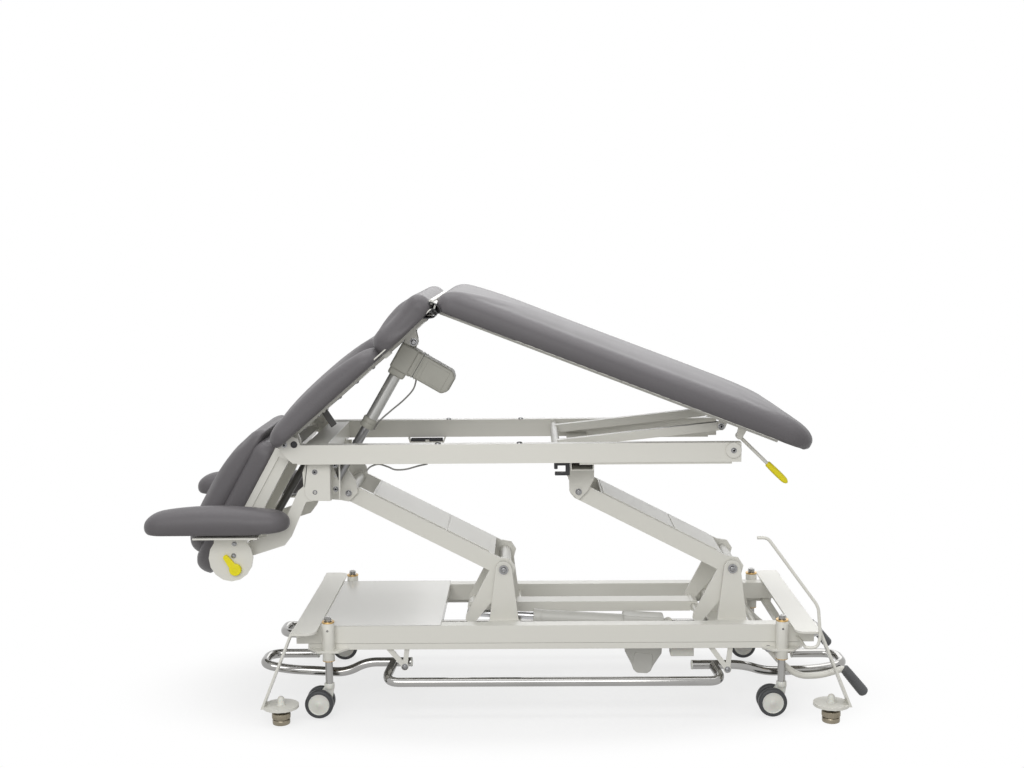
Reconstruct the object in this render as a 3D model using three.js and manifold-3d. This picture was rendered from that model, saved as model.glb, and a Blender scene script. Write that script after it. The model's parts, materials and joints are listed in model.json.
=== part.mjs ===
// Electric physiotherapy massage table, shown with its middle raised to a ridge.
// Millimetres, +Z up, head end towards -X, near long side towards -Y.
import * as THREE from 'three';
import { mergeVertices } from 'three/addons/utils/BufferGeometryUtils.js';
import Module from 'manifold-3d';

const wasm = await Module();
wasm.setup();

// Clearances shared by pieces that touch, slide or turn in one another
const seatGap = 0.3;
const turnGap = 0.4;
const stubGap = 2;
const cutOverrun = 2;
const mergeDistance = 0.001;
const flatTolerance = 0.02;

// Facets round a turned piece, and along a bent one
const roundSides = 16;
const smallSides = 12;
const tubeSides = 8;

// The couch as a whole
const couchWidth = 690;
const couchHalfWidth = couchWidth / 2;
const footDiscInset = 23;
const footDiscY = couchHalfWidth - footDiscInset;

// Base rails, rectangular tube
const baseRailTop = 256;
const baseRailHeight = 50;
const baseRailBottom = baseRailTop - baseRailHeight;
const baseRailWidth = 40;
const baseRailOuterY = 250;
const baseRailInnerY = baseRailOuterY - baseRailWidth;
const baseRailHalfLength = 738;
const railEndInset = 10;
const endPlateOuterX = baseRailHalfLength - railEndInset;
const footSplay = 25;
const footDiscX = baseRailHalfLength + footSplay;
const tubeWall = 3;
const drainRadius = 4;
const drainInset = 34;

// Flat plate used for cheeks, lugs and ears
const plateThickness = 8;

// Lift geometry: two equal parallel arms
const armSpacing = 660;
const headLowerPivotX = -144;
const lowerPivotZ = 387;
const armRise = 228;
const armRun = 443;
const armLength = Math.hypot(armRise, armRun);
const crankBack = 96;
const crankDrop = 146;
const armHalfWidth = 118;
const pivotPinRadius = 10;
const linkPinRadius = 8;
const footLowerPivotX = headLowerPivotX + armSpacing;
const headUpperPivotX = headLowerPivotX - armRun;
const footUpperPivotX = footLowerPivotX - armRun;
const upperPivotZ = lowerPivotZ + armRise;

// Upper frame rails
const upperRailTop = 775;
const upperRailHeight = 54;
const upperRailBottom = upperRailTop - upperRailHeight;
const upperRailWidth = 30;
const upperRailOuterY = 270;
const upperRailInnerY = upperRailOuterY - upperRailWidth;
const upperRailHeadX = -710;
const upperRailFootX = 517;

// Hinge lines of the three cushioned sections
const torsoPivotX = -717;
const torsoPivotZ = 777;
const headPivotX = -744;
const ridgeAlong = 551;
const boardRise = 30;
const ridgeRise = 42;
const ridgeAboveBoard = ridgeRise - boardRise;
const torsoTilt = THREE.MathUtils.degToRad(41);
const legTilt = THREE.MathUtils.degToRad(21.3);
const headTilt = THREE.MathUtils.degToRad(61);

// Cushion make-up
const cushionThick = 62;
const cushionCrown = 13;
const sheetThick = 3.4;

// Paint, leatherette, chrome and plastic
const paint = { color: 0xdedcd4, roughness: 0.35, metalness: 0.1 };
const leatherette = { color: 0x6a676b, roughness: 0.5, metalness: 0 };
const chrome = { color: 0x9c9a96, roughness: 0.15, metalness: 1 };
const motorGrey = { color: 0xb9b8a6, roughness: 0.5, metalness: 0 };
const rodGrey = { color: 0x8b8c8c, roughness: 0.3, metalness: 0.6 };
const blackPlastic = { color: 0x26262a, roughness: 0.5, metalness: 0 };
const whitePlastic = { color: 0xe4e2d8, roughness: 0.4, metalness: 0 };
const yellowPlastic = { color: 0xe6d91e, roughness: 0.4, metalness: 0 };

const couch = new THREE.Group();

// Adds one named piece to a group
function piece(name, geometry, look, group = couch) {
  geometry.computeVertexNormals();
  const mesh = new THREE.Mesh(geometry, new THREE.MeshStandardMaterial(look));
  mesh.name = name;
  group.add(mesh);
  return mesh;
}

// Solids for joining and cutting
function toSolid(geometry) {
  const bare = geometry.clone();
  bare.deleteAttribute('normal');
  bare.deleteAttribute('uv');
  const merged = mergeVertices(bare, mergeDistance);
  return new wasm.Manifold(new wasm.Mesh({
    numProp: 3,
    vertProperties: new Float32Array(merged.attributes.position.array),
    triVerts: new Uint32Array(merged.index.array),
  }));
}

function toGeometry(solid) {
  const mesh = solid.asOriginal().simplify(flatTolerance).getMesh();
  const geometry = new THREE.BufferGeometry();
  geometry.setAttribute('position', new THREE.BufferAttribute(new Float32Array(mesh.vertProperties), 3));
  geometry.setIndex(new THREE.BufferAttribute(new Uint32Array(mesh.triVerts), 1));
  return geometry;
}

// Joins solids into one, then cuts others out of it
function weld(joined, cuts = []) {
  let solid = toSolid(joined[0]);
  for (const other of joined.slice(1)) {
    solid = solid.add(toSolid(other));
  }
  for (const cut of cuts) {
    solid = solid.subtract(toSolid(cut));
  }
  return toGeometry(solid);
}

// A block between two planes on each axis
function block(x0, x1, y0, y1, z0, z1) {
  const shape = new THREE.BoxGeometry(x1 - x0, y1 - y0, z1 - z0);
  return shape.translate((x0 + x1) / 2, (y0 + y1) / 2, (z0 + z1) / 2);
}

function outlineOf(points) {
  return new THREE.Shape(points.map(([a, b]) => new THREE.Vector2(a, b)));
}

// An outline in X and Z, given depth along Y
function slabAcross(points, y0, y1) {
  const shape = new THREE.ExtrudeGeometry(outlineOf(points), { depth: y1 - y0, bevelEnabled: false });
  return shape.rotateX(Math.PI / 2).translate(0, y1, 0);
}

// An outline in X and Y, given height along Z
function slabUp(points, z0, z1) {
  const shape = new THREE.ExtrudeGeometry(outlineOf(points), { depth: z1 - z0, bevelEnabled: false });
  return shape.translate(0, 0, z0);
}

// A rectangular tube along X, open at both ends
function tubeAlong(x0, x1, y0, y1, z0, z1, wall) {
  const outline = outlineOf([[y0, z0], [y1, z0], [y1, z1], [y0, z1]]);
  outline.holes.push(outlineOf([
    [y0 + wall, z0 + wall], [y0 + wall, z1 - wall], [y1 - wall, z1 - wall], [y1 - wall, z0 + wall],
  ]));
  const shape = new THREE.ExtrudeGeometry(outline, { depth: x1 - x0, bevelEnabled: false });
  const turn = new THREE.Matrix4().makeBasis(
    new THREE.Vector3(0, 1, 0), new THREE.Vector3(0, 0, 1), new THREE.Vector3(1, 0, 0));
  return shape.applyMatrix4(turn).translate(x0, 0, 0);
}

// A rectangular tube along Y, open at both ends
function tubeAcross(x0, x1, y0, y1, z0, z1, wall) {
  const shape = tubeAlong(y0, y1, -x1, -x0, z0, z1, wall);
  return shape.rotateZ(Math.PI / 2);
}

// Round bars along each axis
function barAcross(x, z, radius, y0, y1, sides = smallSides) {
  return new THREE.CylinderGeometry(radius, radius, y1 - y0, sides).translate(x, (y0 + y1) / 2, z);
}

function barUp(x, y, radius, z0, z1, sides = smallSides) {
  const bar = new THREE.CylinderGeometry(radius, radius, z1 - z0, sides);
  return bar.rotateX(Math.PI / 2).translate(x, y, (z0 + z1) / 2);
}

function barAlong(y, z, radius, x0, x1, sides = smallSides) {
  const bar = new THREE.CylinderGeometry(radius, radius, x1 - x0, sides);
  return bar.rotateZ(Math.PI / 2).translate((x0 + x1) / 2, y, z);
}

// A profile of radius and height, turned about the upright axis
function turnedUp(profile, x, y, sides = roundSides) {
  const points = profile.map(([radius, height]) => new THREE.Vector2(radius, height));
  return new THREE.LatheGeometry(points, sides).rotateX(Math.PI / 2).translate(x, y, 0);
}

// A profile of radius and place along Y, turned about an axis along Y
function turnedAcross(profile, x, z, sides = roundSides) {
  const points = profile.map(([radius, place]) => new THREE.Vector2(radius, place));
  return new THREE.LatheGeometry(points, sides).translate(x, 0, z);
}

// A path through points with its corners rounded by curves
function bentPath(points, bend) {
  const places = points.map(([x, y, z]) => new THREE.Vector3(x, y, z));
  const path = new THREE.CurvePath();
  let start = places[0];
  for (let i = 1; i < places.length - 1; i += 1) {
    const corner = places[i];
    const before = corner.clone().sub(places[i - 1]);
    const after = places[i + 1].clone().sub(corner);
    const reach = Math.min(bend, before.length() * bendLimitShare, after.length() * bendLimitShare);
    const entry = corner.clone().sub(before.normalize().multiplyScalar(reach));
    const leave = corner.clone().add(after.normalize().multiplyScalar(reach));
    path.add(new THREE.LineCurve3(start, entry));
    path.add(new THREE.QuadraticBezierCurve3(entry, corner, leave));
    start = leave;
  }
  path.add(new THREE.LineCurve3(start, places[places.length - 1]));
  return path;
}
const bendLimitShare = 0.45;

// A round tube bent along such a path
function bentTube(points, radius, bend, steps, sides = tubeSides) {
  const ring = [];
  for (let i = 0; i < sides; i += 1) {
    const turn = (2 * Math.PI * i) / sides;
    ring.push([radius * Math.cos(turn), radius * Math.sin(turn)]);
  }
  return new THREE.ExtrudeGeometry(outlineOf(ring), { steps, extrudePath: bentPath(points, bend) });
}

// The outline of a flat strip of even width that follows points
function ribbon(points, width) {
  const left = [];
  const right = [];
  points.forEach(([x, z], i) => {
    const from = points[Math.max(i - 1, 0)];
    const to = points[Math.min(i + 1, points.length - 1)];
    const intoLength = Math.hypot(x - from[0], z - from[1]) || 1;
    const outLength = Math.hypot(to[0] - x, to[1] - z) || 1;
    const along = [
      (x - from[0]) / intoLength + (to[0] - x) / outLength,
      (z - from[1]) / intoLength + (to[1] - z) / outLength,
    ];
    const size = Math.hypot(along[0], along[1]);
    const across = [-along[1] / size, along[0] / size];
    const isEnd = i === 0 || i === points.length - 1;
    const stretch = isEnd ? 1 : 2 / size;
    left.push([x + across[0] * stretch * width / 2, z + across[1] * stretch * width / 2]);
    right.unshift([x - across[0] * stretch * width / 2, z - across[1] * stretch * width / 2]);
  });
  return [...left, ...right];
}

// A straight-sided link outline between two round ends
function linkOutline(x0, z0, radius0, x1, z1, radius1, facets = tubeSides) {
  const heading = Math.atan2(z1 - z0, x1 - x0);
  const lean = Math.asin((radius0 - radius1) / Math.hypot(x1 - x0, z1 - z0));
  const points = [];
  const arc = (x, z, radius, from, to) => {
    for (let i = 0; i <= facets / 2; i += 1) {
      const turn = from + ((to - from) * i) / (facets / 2);
      points.push([x + radius * Math.cos(turn), z + radius * Math.sin(turn)]);
    }
  };
  const quarter = Math.PI / 2;
  arc(x0, z0, radius0, heading + quarter - lean, heading + 2 * Math.PI - quarter + lean);
  arc(x1, z1, radius1, heading - quarter + lean, heading + quarter - lean);
  return points;
}

// Rows of a cushion, as shares of its thickness: how far drawn in, how high
const cushionRowShares = [
  [0.26, 0], [0.06, 0.12], [0, 0.4], [0.04, 0.68], [0.18, 0.9], [0.5, 1.02],
];
// Rows of its crown, as shares of the half width and of the crown height
const crownRowShares = [[0.4, 0.55], [0.7, 0.88], [0.97, 1]];
const smallestRadius = 1;

// A crowned pad on a rounded rectangle, its sides drawn in under a full edge
function pad(x0, x1, y0, y1, base, thick, crown, radii) {
  const middleX = (x0 + x1) / 2;
  const middleY = (y0 + y1) / 2;
  const halfX = (x1 - x0) / 2;
  const halfY = (y1 - y0) / 2;
  const narrow = Math.min(halfX, halfY);
  const rows = cushionRowShares.map(([inset, height]) => [inset * thick, height * thick]);
  const [lastInset, lastHeight] = rows[rows.length - 1];
  for (const [insetShare, crownShare] of crownRowShares) {
    rows.push([lastInset + (narrow - lastInset) * insetShare, lastHeight + crown * crownShare]);
  }
  const corners = [[-1, -1], [1, -1], [1, 1], [-1, 1]];
  const positions = [];
  for (const [inset, height] of rows) {
    corners.forEach(([signX, signY], corner) => {
      const radius = Math.max(Math.min(radii[corner], narrow) - inset, smallestRadius);
      const centreX = middleX + signX * (halfX - inset - Math.min(radius, halfX - inset));
      const centreY = middleY + signY * (halfY - inset - Math.min(radius, halfY - inset));
      const round = Math.min(radius, halfX - inset, halfY - inset);
      for (let i = 0; i <= padCornerFacets; i += 1) {
        const turn = Math.PI + (corner + i / padCornerFacets) * (Math.PI / 2);
        positions.push(centreX + round * Math.cos(turn), centreY + round * Math.sin(turn), base + height);
      }
    });
  }
  const ring = corners.length * (padCornerFacets + 1);
  const faces = [];
  for (let row = 0; row < rows.length - 1; row += 1) {
    for (let i = 0; i < ring; i += 1) {
      const a = row * ring + i;
      const b = row * ring + ((i + 1) % ring);
      faces.push(a, b, b + ring, a, b + ring, a + ring);
    }
  }
  const bottom = positions.length / 3;
  positions.push(middleX, middleY, base);
  const top = bottom + 1;
  positions.push(middleX, middleY, base + lastHeight + crown);
  const lastRow = (rows.length - 1) * ring;
  for (let i = 0; i < ring; i += 1) {
    const next = (i + 1) % ring;
    faces.push(bottom, next, i);
    faces.push(top, lastRow + i, lastRow + next);
  }
  const geometry = new THREE.BufferGeometry();
  geometry.setAttribute('position', new THREE.Float32BufferAttribute(positions, 3));
  geometry.setIndex(faces);
  return geometry;
}
const padCornerFacets = 4;

// A group whose local X and Z are tilted about a line along Y
function tilted(x, z, turn, parent = couch, y = 0) {
  const group = new THREE.Group();
  group.position.set(x, y, z);
  group.rotation.y = turn;
  parent.add(group);
  return group;
}

// Foot control: hangers under the base rails carry the pedal tubes
const pedalTubeRadius = 13;
const pedalTubeY = 205;
const hangerOuterY = 241;
const hangerThick = 5;
const hangerWidth = 14;
const hangerPivotXs = [-424, 488];
const hangerPivotZs = [135, 123];
const hangerReach = 62;
const hangerReturn = 10;
const hangerPinRadius = 4;
const hangerPinHead = 7;
const pressTravel = 6;
const hangerHubRadius = 11;

function hangerParts(side, end) {
  const pivotX = hangerPivotXs[end];
  const pivotZ = hangerPivotZs[end];
  const top = baseRailBottom + tubeWall;
  const outer = side * hangerOuterY;
  const inner = side * (hangerOuterY - hangerThick);
  const [y0, y1] = [Math.min(outer, inner), Math.max(outer, inner)];
  const pinEnd = side * (pedalTubeY - pedalTubeRadius - stubGap);
  const headEnd = pinEnd - side * plateThickness / 2;
  const strut = slabAcross(
    ribbon([[pivotX - hangerReach, top], [pivotX, pivotZ]], hangerWidth), y0, y1);
  const stay = slabAcross(
    ribbon([[pivotX + hangerReturn, top], [pivotX, pivotZ]], hangerWidth), y0, y1);
  return [
    strut, stay, barAcross(pivotX, pivotZ, hangerHubRadius, y0, y1),
    barAcross(pivotX, pivotZ, hangerPinRadius, Math.min(inner, pinEnd), Math.max(inner, pinEnd)),
    barAcross(pivotX, pivotZ, hangerPinHead, Math.min(headEnd, pinEnd), Math.max(headEnd, pinEnd)),
  ];
}

// Lugs under the rail that carry the caster pedal's shaft
const pedalShaftInset = 138;
const pedalShaftX = baseRailHalfLength - pedalShaftInset;
const pedalShaftZ = 186;
const pedalArmRadius = 9;
const shaftLugRadius = 15;
const shaftLugInnerY = 214;
function shaftLug(side) {
  const y0 = side < 0 ? -shaftLugInnerY - plateThickness : shaftLugInnerY;
  return slabAcross(
    linkOutline(pedalShaftX, pedalShaftZ, shaftLugRadius, pedalShaftX, baseRailBottom - shaftLugRadius / 2,
      shaftLugRadius), y0, y0 + plateThickness);
}

// Base rails with the foot-bar hangers welded under them
function baseRail(side) {
  const y0 = side < 0 ? -baseRailOuterY : baseRailInnerY;
  const rail = tubeAlong(-endPlateOuterX, endPlateOuterX, y0, y0 + baseRailWidth,
    baseRailBottom, baseRailTop, tubeWall);
  return weld([rail, shaftLug(side), ...hangerParts(side, 0), ...hangerParts(side, 1)], [
    barAcross(pedalShaftX, pedalShaftZ, pedalArmRadius + turnGap, side < 0 ? -baseRailOuterY : baseRailInnerY,
      side < 0 ? -baseRailInnerY : baseRailOuterY),
  ]);
}
piece('base_rail_near', baseRail(-1), paint);
piece('base_rail_far', baseRail(1), paint);

// End plates: bent sheet over the rail ends, with splayed legs and foot discs
const endPlateDepth = 68;
const endPlateInnerX = endPlateOuterX - endPlateDepth;
const endPlateCorner = 26;
const endCornerSteps = 5;
const endPlateThick = 6;
const endPlateBottom = baseRailTop + seatGap;
const endPlateTop = endPlateBottom + endPlateThick;
const legFootSpread = 49;
const legFootX = footDiscX + legFootSpread;
const legStripWidth = 53;
const legStripInnerY = couchHalfWidth - legStripWidth;
const discRadius = 50;
const discBottom = 47;
const discThick = 8;
const studRadius = 8;

function endPlate(end) {
  const outer = end * endPlateOuterX;
  const inner = end * endPlateInnerX;
  const corner = (side) => Array.from({ length: endCornerSteps + 1 }, (unused, step) => {
    const turn = (step / endCornerSteps) * (Math.PI / 2);
    return [inner + end * endPlateCorner * (1 - Math.cos(turn)),
      side * (couchHalfWidth - endPlateCorner * (1 - Math.sin(turn)))];
  });
  const nearCorner = corner(-1);
  const farCorner = corner(1).reverse();
  const outline = [...nearCorner, [outer, -couchHalfWidth], [outer, couchHalfWidth], ...farCorner];
  const parts = [slabUp(end > 0 ? outline : outline.reverse(), endPlateBottom, endPlateTop)];
  const stripMiddle = endPlateTop - endPlateThick / 2;
  const profile = ribbon([
    [outer - end * endPlateThick * 2, stripMiddle], [outer, stripMiddle],
    [end * legFootX, discBottom + discThick / 2], [end * footDiscX, discBottom + discThick / 2],
  ], endPlateThick);
  const cuts = [];
  for (const side of [-1, 1]) {
    const y0 = side < 0 ? -couchHalfWidth : legStripInnerY;
    parts.push(slabAcross(profile, y0, y0 + couchHalfWidth - legStripInnerY));
    parts.push(barUp(end * footDiscX, side * footDiscY, discRadius, discBottom, discBottom + discThick,
      roundSides));
    cuts.push(barUp(end * footDiscX, side * footDiscY, studRadius + turnGap, discBottom - cutOverrun,
      discBottom + discThick + cutOverrun));
  }
  return weld(parts, cuts);
}
piece('head_end_plate', endPlate(-1), paint);
piece('foot_end_plate', endPlate(1), paint);

// Levelling feet: a pad on a threaded stud with a capped nut above the disc
const padRadius = 26;
const padNeckRadius = 20;
const padHeight = 34;
const padEdge = 4;
const studTop = 72;
const nutRadius = 11;
const capTop = 90;
const capTopRadius = 7;
const footNames = { '-1': 'head', 1: 'foot' };
const sideNames = { '-1': 'near', 1: 'far' };
for (const end of [-1, 1]) {
  for (const side of [-1, 1]) {
    const foot = turnedUp([
      [0, 0], [padRadius - padEdge, 0], [padRadius, padEdge], [padRadius, padHeight - padEdge],
      [padNeckRadius, padHeight], [studRadius, padHeight], [studRadius, studTop], [nutRadius, studTop],
      [nutRadius, capTop - padEdge], [capTopRadius, capTop], [0, capTop],
    ], end * footDiscX, side * footDiscY, smallSides);
    piece(`levelling_foot_${footNames[end]}_${sideNames[side]}`, foot, rodGrey);
  }
}

// Sheet cover over the head half of the base
const coverLength = 340;
const coverFootX = -endPlateInnerX + coverLength;
const coverThick = 2;
const coverLip = 22;
const cover = weld([
  block(-endPlateInnerX + seatGap, coverFootX, -baseRailOuterY, baseRailOuterY,
    baseRailTop + seatGap, baseRailTop + seatGap + coverThick),
  block(coverFootX - coverThick, coverFootX, -baseRailInnerY + seatGap, baseRailInnerY - seatGap,
    baseRailTop - coverLip, baseRailTop + seatGap + coverThick),
]);
piece('base_cover', cover, paint);

// Lift stands: trapezoid uprights on side boxes, tied by a plate under the rails
const uprightInnerY = armHalfWidth + plateThickness / 2;
const uprightOuterY = uprightInnerY + plateThickness;
const uprightTopRadius = 24;
const uprightFootHalf = 48;
const standBoxTop = 236;
const standBoxBottom = 190;
const tiePlateBottom = 184;
const boltHeadRadius = 9;
const boltHeadHeight = 6;
const boltSides = 6;
const actuatorPivotX = 340;
const actuatorPivotZ = 205;
const actuatorY = -60;
const actuatorCheekGap = 24;
const actuatorCheek = 6;
const actuatorCheekRadius = 13;
const actuatorPinRadius = 7;

function liftStand(pivotX, extras, extraCuts) {
  const parts = [
    block(pivotX - uprightFootHalf, pivotX + uprightFootHalf, -baseRailInnerY + seatGap,
      baseRailInnerY - seatGap, tiePlateBottom, standBoxBottom),
    barAcross(pivotX, lowerPivotZ, pivotPinRadius, -uprightOuterY, uprightOuterY),
  ];
  for (const side of [-1, 1]) {
    const y0 = side < 0 ? -uprightOuterY : uprightInnerY;
    parts.push(slabAcross([
      [pivotX - uprightFootHalf, standBoxBottom], [pivotX + uprightFootHalf, standBoxBottom],
      [pivotX + uprightTopRadius, lowerPivotZ], [pivotX - uprightTopRadius, lowerPivotZ],
    ], y0, y0 + plateThickness));
    parts.push(barAcross(pivotX, lowerPivotZ, uprightTopRadius, y0, y0 + plateThickness, roundSides));
    const boxY0 = side < 0 ? -baseRailInnerY + seatGap : uprightOuterY;
    const boxY1 = side < 0 ? -uprightOuterY : baseRailInnerY - seatGap;
    parts.push(block(pivotX - uprightFootHalf, pivotX + uprightFootHalf, boxY0, boxY1,
      standBoxBottom, standBoxTop));
    const headY0 = side < 0 ? -uprightOuterY - boltHeadHeight : uprightOuterY;
    parts.push(barAcross(pivotX, lowerPivotZ, boltHeadRadius, headY0, headY0 + boltHeadHeight, boltSides));
  }
  return weld([...parts, ...extras], extraCuts);
}
piece('head_lift_stand', liftStand(headLowerPivotX, [], []), paint);

const strapInset = 11;
const strapHalf = 44;
const rearMount = [
  block(actuatorPivotX - strapInset, footLowerPivotX, actuatorY - strapHalf, actuatorY + strapHalf,
    tiePlateBottom, standBoxBottom),
  barAcross(actuatorPivotX, actuatorPivotZ, actuatorPinRadius, actuatorY - actuatorCheekGap,
    actuatorY + actuatorCheekGap),
];
for (const side of [-1, 1]) {
  const inner = actuatorY + side * (actuatorCheekGap - actuatorCheek);
  const outer = actuatorY + side * actuatorCheekGap;
  rearMount.push(slabAcross([
    [actuatorPivotX - actuatorCheekRadius, standBoxBottom - actuatorCheek / 2],
    [actuatorPivotX + actuatorCheekRadius, standBoxBottom - actuatorCheek / 2],
    [actuatorPivotX + actuatorCheekRadius, actuatorPivotZ],
    [actuatorPivotX - actuatorCheekRadius, actuatorPivotZ],
  ], Math.min(inner, outer), Math.max(inner, outer)));
  rearMount.push(barAcross(actuatorPivotX, actuatorPivotZ, actuatorCheekRadius,
    Math.min(inner, outer), Math.max(inner, outer)));
}
piece('foot_lift_stand', liftStand(footLowerPivotX, rearMount, []), paint);

// Bent flat bar at the foot end that holds the hand control
const holderThick = 5;
const holderWidth = 12;
const holderStandOff = 5;
const holderY = couchHalfWidth + holderStandOff;
const holderOffsets = [[-187, 526], [-161, 526], [-21, 334], [-14, 250], [-24, 222], [-54, 219]];
const holderPoints = holderOffsets.map(([x, z]) => [baseRailHalfLength + x, z]);
const holderTabWidth = 14;
const holder = weld([
  slabAcross(ribbon(holderPoints, holderWidth), -holderY - holderThick, -holderY),
  block(holderPoints[5][0] - holderTabWidth / 2, holderPoints[5][0] + holderTabWidth / 2,
    -holderY - holderThick, -baseRailOuterY - seatGap, holderPoints[5][1] - holderThick / 2,
    holderPoints[5][1] + holderThick / 2),
]);
piece('cable_holder_bar', holder, paint);

// Caster carriage: a frame under the rails with a sleeve at each corner
const casterInset = 103;
const casterX = baseRailHalfLength - casterInset;
const casterStandOff = 17;
const casterY = baseRailOuterY + casterStandOff;
const sleeveRadius = 16.5;
const stemRadius = 11;
const sleeveBottom = 163;
const sleeveTop = 273;
const stripBottom = 188;
const stripTop = 205;
const stripThick = 6;
const wingHalf = 60;
const wingThick = 6;
const wingReach = 35;
const wingOuterY = baseRailOuterY + wingReach;
const crossBarInset = 66;
const crossBarX = baseRailHalfLength - crossBarInset;
const crossBarHalf = 10;
const wingHoldShare = 0.5;
const carriageParts = [];
const carriageCuts = [];
for (const side of [-1, 1]) {
  const stripY = side < 0 ? -baseRailOuterY : baseRailOuterY - stripThick;
  const wingHalfLength = casterX + wingHalf;
  carriageParts.push(block(-wingHalfLength, wingHalfLength, stripY, stripY + stripThick, stripBottom,
    stripTop));
}
for (const end of [-1, 1]) {
  const barX = end * crossBarX;
  carriageParts.push(block(barX - crossBarHalf, barX + crossBarHalf, -baseRailOuterY, baseRailOuterY,
    stripBottom, stripTop));
  for (const side of [-1, 1]) {
    const reach = side * wingOuterY;
    const root = side * (baseRailOuterY - stripThick);
    const outline = [
      [end * casterX - wingHalf, root], [end * casterX + wingHalf, root],
      [end * casterX + wingHalf * wingHoldShare, reach], [end * casterX - wingHalf * wingHoldShare, reach],
    ];
    carriageParts.push(slabUp(side > 0 ? outline : outline.reverse(), stripBottom, stripBottom + wingThick));
    carriageParts.push(barUp(end * casterX, side * casterY, sleeveRadius, sleeveBottom, sleeveTop,
      smallSides));
    carriageCuts.push(barUp(end * casterX, side * casterY, stemRadius + turnGap, sleeveBottom - cutOverrun,
      sleeveTop + cutOverrun, smallSides));
  }
}
piece('caster_carriage', weld(carriageParts, carriageCuts), paint);

// Casters: chromed stem with a body between twin wheels
const casterTrail = 27;
const wheelRadius = 40;
const wheelLift = 3;
const wheelZ = wheelRadius + wheelLift;
const wheelInner = 7;
const wheelOuter = 29;
const tyreEdge = 4;
const axleRadius = 5;
const bodyHalf = 5.5;
const bodyRadius = 34;
const socketRadius = 14;
const socketBottom = 86;
const socketTop = 98;
const stemTop = 288;
const stemChamfer = 3;
for (const end of [-1, 1]) {
  for (const side of [-1, 1]) {
    const tag = `${footNames[end]}_${sideNames[side]}`;
    const x = end * casterX;
    const y = side * casterY;
    const wheelX = x - casterTrail;
    const stem = weld([
      turnedUp([
        [0, socketBottom], [stemRadius, socketBottom], [stemRadius, stemTop - stemChamfer],
        [stemRadius - stemChamfer, stemTop], [0, stemTop],
      ], x, y),
      barUp(x, y, socketRadius, socketBottom, socketTop),
      slabAcross(linkOutline(wheelX, wheelZ, bodyRadius, x, socketBottom, socketRadius), y - bodyHalf,
        y + bodyHalf),
    ], [barAcross(wheelX, wheelZ, axleRadius + turnGap, y - wheelOuter, y + wheelOuter)]);
    piece(`caster_stem_${tag}`, stem, whitePlastic);
    const wheel = turnedAcross([
      [0, -wheelOuter], [wheelRadius - tyreEdge, -wheelOuter], [wheelRadius, -wheelOuter + tyreEdge],
      [wheelRadius, -wheelInner], [axleRadius, -wheelInner], [axleRadius, wheelInner],
      [wheelRadius, wheelInner], [wheelRadius, wheelOuter - tyreEdge],
      [wheelRadius - tyreEdge, wheelOuter], [0, wheelOuter],
    ], wheelX, wheelZ);
    piece(`caster_wheel_${tag}`, wheel.translate(0, y, 0), blackPlastic);
  }
}

// Caster pedal: one bent tube on a cross shaft, with a grip at each end
const pedalArmY = 233;
const pedalArmOffsets = [[0, 0], [45, -52], [90, -85], [152, -84], [216, -64]];
const pedalArmPoints = pedalArmOffsets.map(([x, z]) => [pedalShaftX + x, pedalShaftZ + z]);
const pedalArmBend = 24;
const pedalArmSteps = 11;
const gripStartOffset = [222, -68];
const gripEndOffset = [272, -130];
const gripStart = [pedalShaftX + gripStartOffset[0], pedalShaftZ + gripStartOffset[1]];
const gripEnd = [pedalShaftX + gripEndOffset[0], pedalShaftZ + gripEndOffset[1]];
const gripRadius = 16;
const pedalParts = [barAcross(pedalShaftX, pedalShaftZ, pedalArmRadius, -pedalArmY, pedalArmY)];
for (const side of [-1, 1]) {
  const y = side * pedalArmY;
  const armLine = pedalArmPoints.map(([x, z]) => [x, y, z]);
  pedalParts.push(bentTube(armLine, pedalArmRadius, pedalArmBend, pedalArmSteps));
  pedalParts.push(slabAcross(
    linkOutline(gripStart[0], gripStart[1], gripRadius, gripEnd[0], gripEnd[1], gripRadius),
    y - gripRadius, y + gripRadius));
}
piece('caster_pedal', weld(pedalParts), paint);

// Foot control bars: a side bar with a pedal loop at each end
const backArmY = 100;
const sideBarY = 290;
const sideBarZ = 106;
const loopHeadX = -832;
const loopFootX = 822;
const pedalBend = 46;
const loopSteps = 20;
const sideSteps = 12;
const headLoop = [[-408, 138], [-536, 138], [-594, 108], [-760, 118]];
const headLoopEnd = 132;
const headBackX = -690;
const footLoop = [[392, 126], [535, 126], [604, 105], [752, 112]];
const footLoopEnd = 126;
const footBackX = 695;
const sideBarHead = -478;
const sideBarFoot = 470;
const sideBarInset = 20;
for (const side of [-1, 1]) {
  const y = side * pedalTubeY;
  const back = side * backArmY;
  const head = bentTube([
    ...headLoop.map(([x, z]) => [x, y, z]), [loopHeadX, y, headLoopEnd], [loopHeadX, back, headLoopEnd],
    [headBackX, back, headLoopEnd],
  ], pedalTubeRadius, pedalBend, loopSteps);
  const foot = bentTube([
    ...footLoop.map(([x, z]) => [x, y, z]), [loopFootX, y, footLoopEnd], [loopFootX, back, footLoopEnd],
    [footBackX, back, footLoopEnd],
  ], pedalTubeRadius, pedalBend, loopSteps);
  const rail = bentTube([
    [sideBarHead + sideBarInset, y, headLoop[0][1]], [sideBarHead, side * sideBarY, sideBarZ],
    [sideBarFoot, side * sideBarY, sideBarZ], [sideBarFoot - sideBarInset, y, footLoop[0][1]],
  ], pedalTubeRadius, pedalBend, sideSteps);
  const slots = hangerPivotXs.map((x, i) => block(x - hangerPinRadius - turnGap,
    x + hangerPinRadius + turnGap,
    y - 2 * pedalTubeRadius, y + 2 * pedalTubeRadius, hangerPivotZs[i] - hangerPinRadius - turnGap,
    hangerPivotZs[i] + pressTravel + hangerPinRadius + turnGap));
  piece(`foot_bar_${sideNames[side]}`, weld([head, rail, foot], slots), chrome);
}

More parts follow.
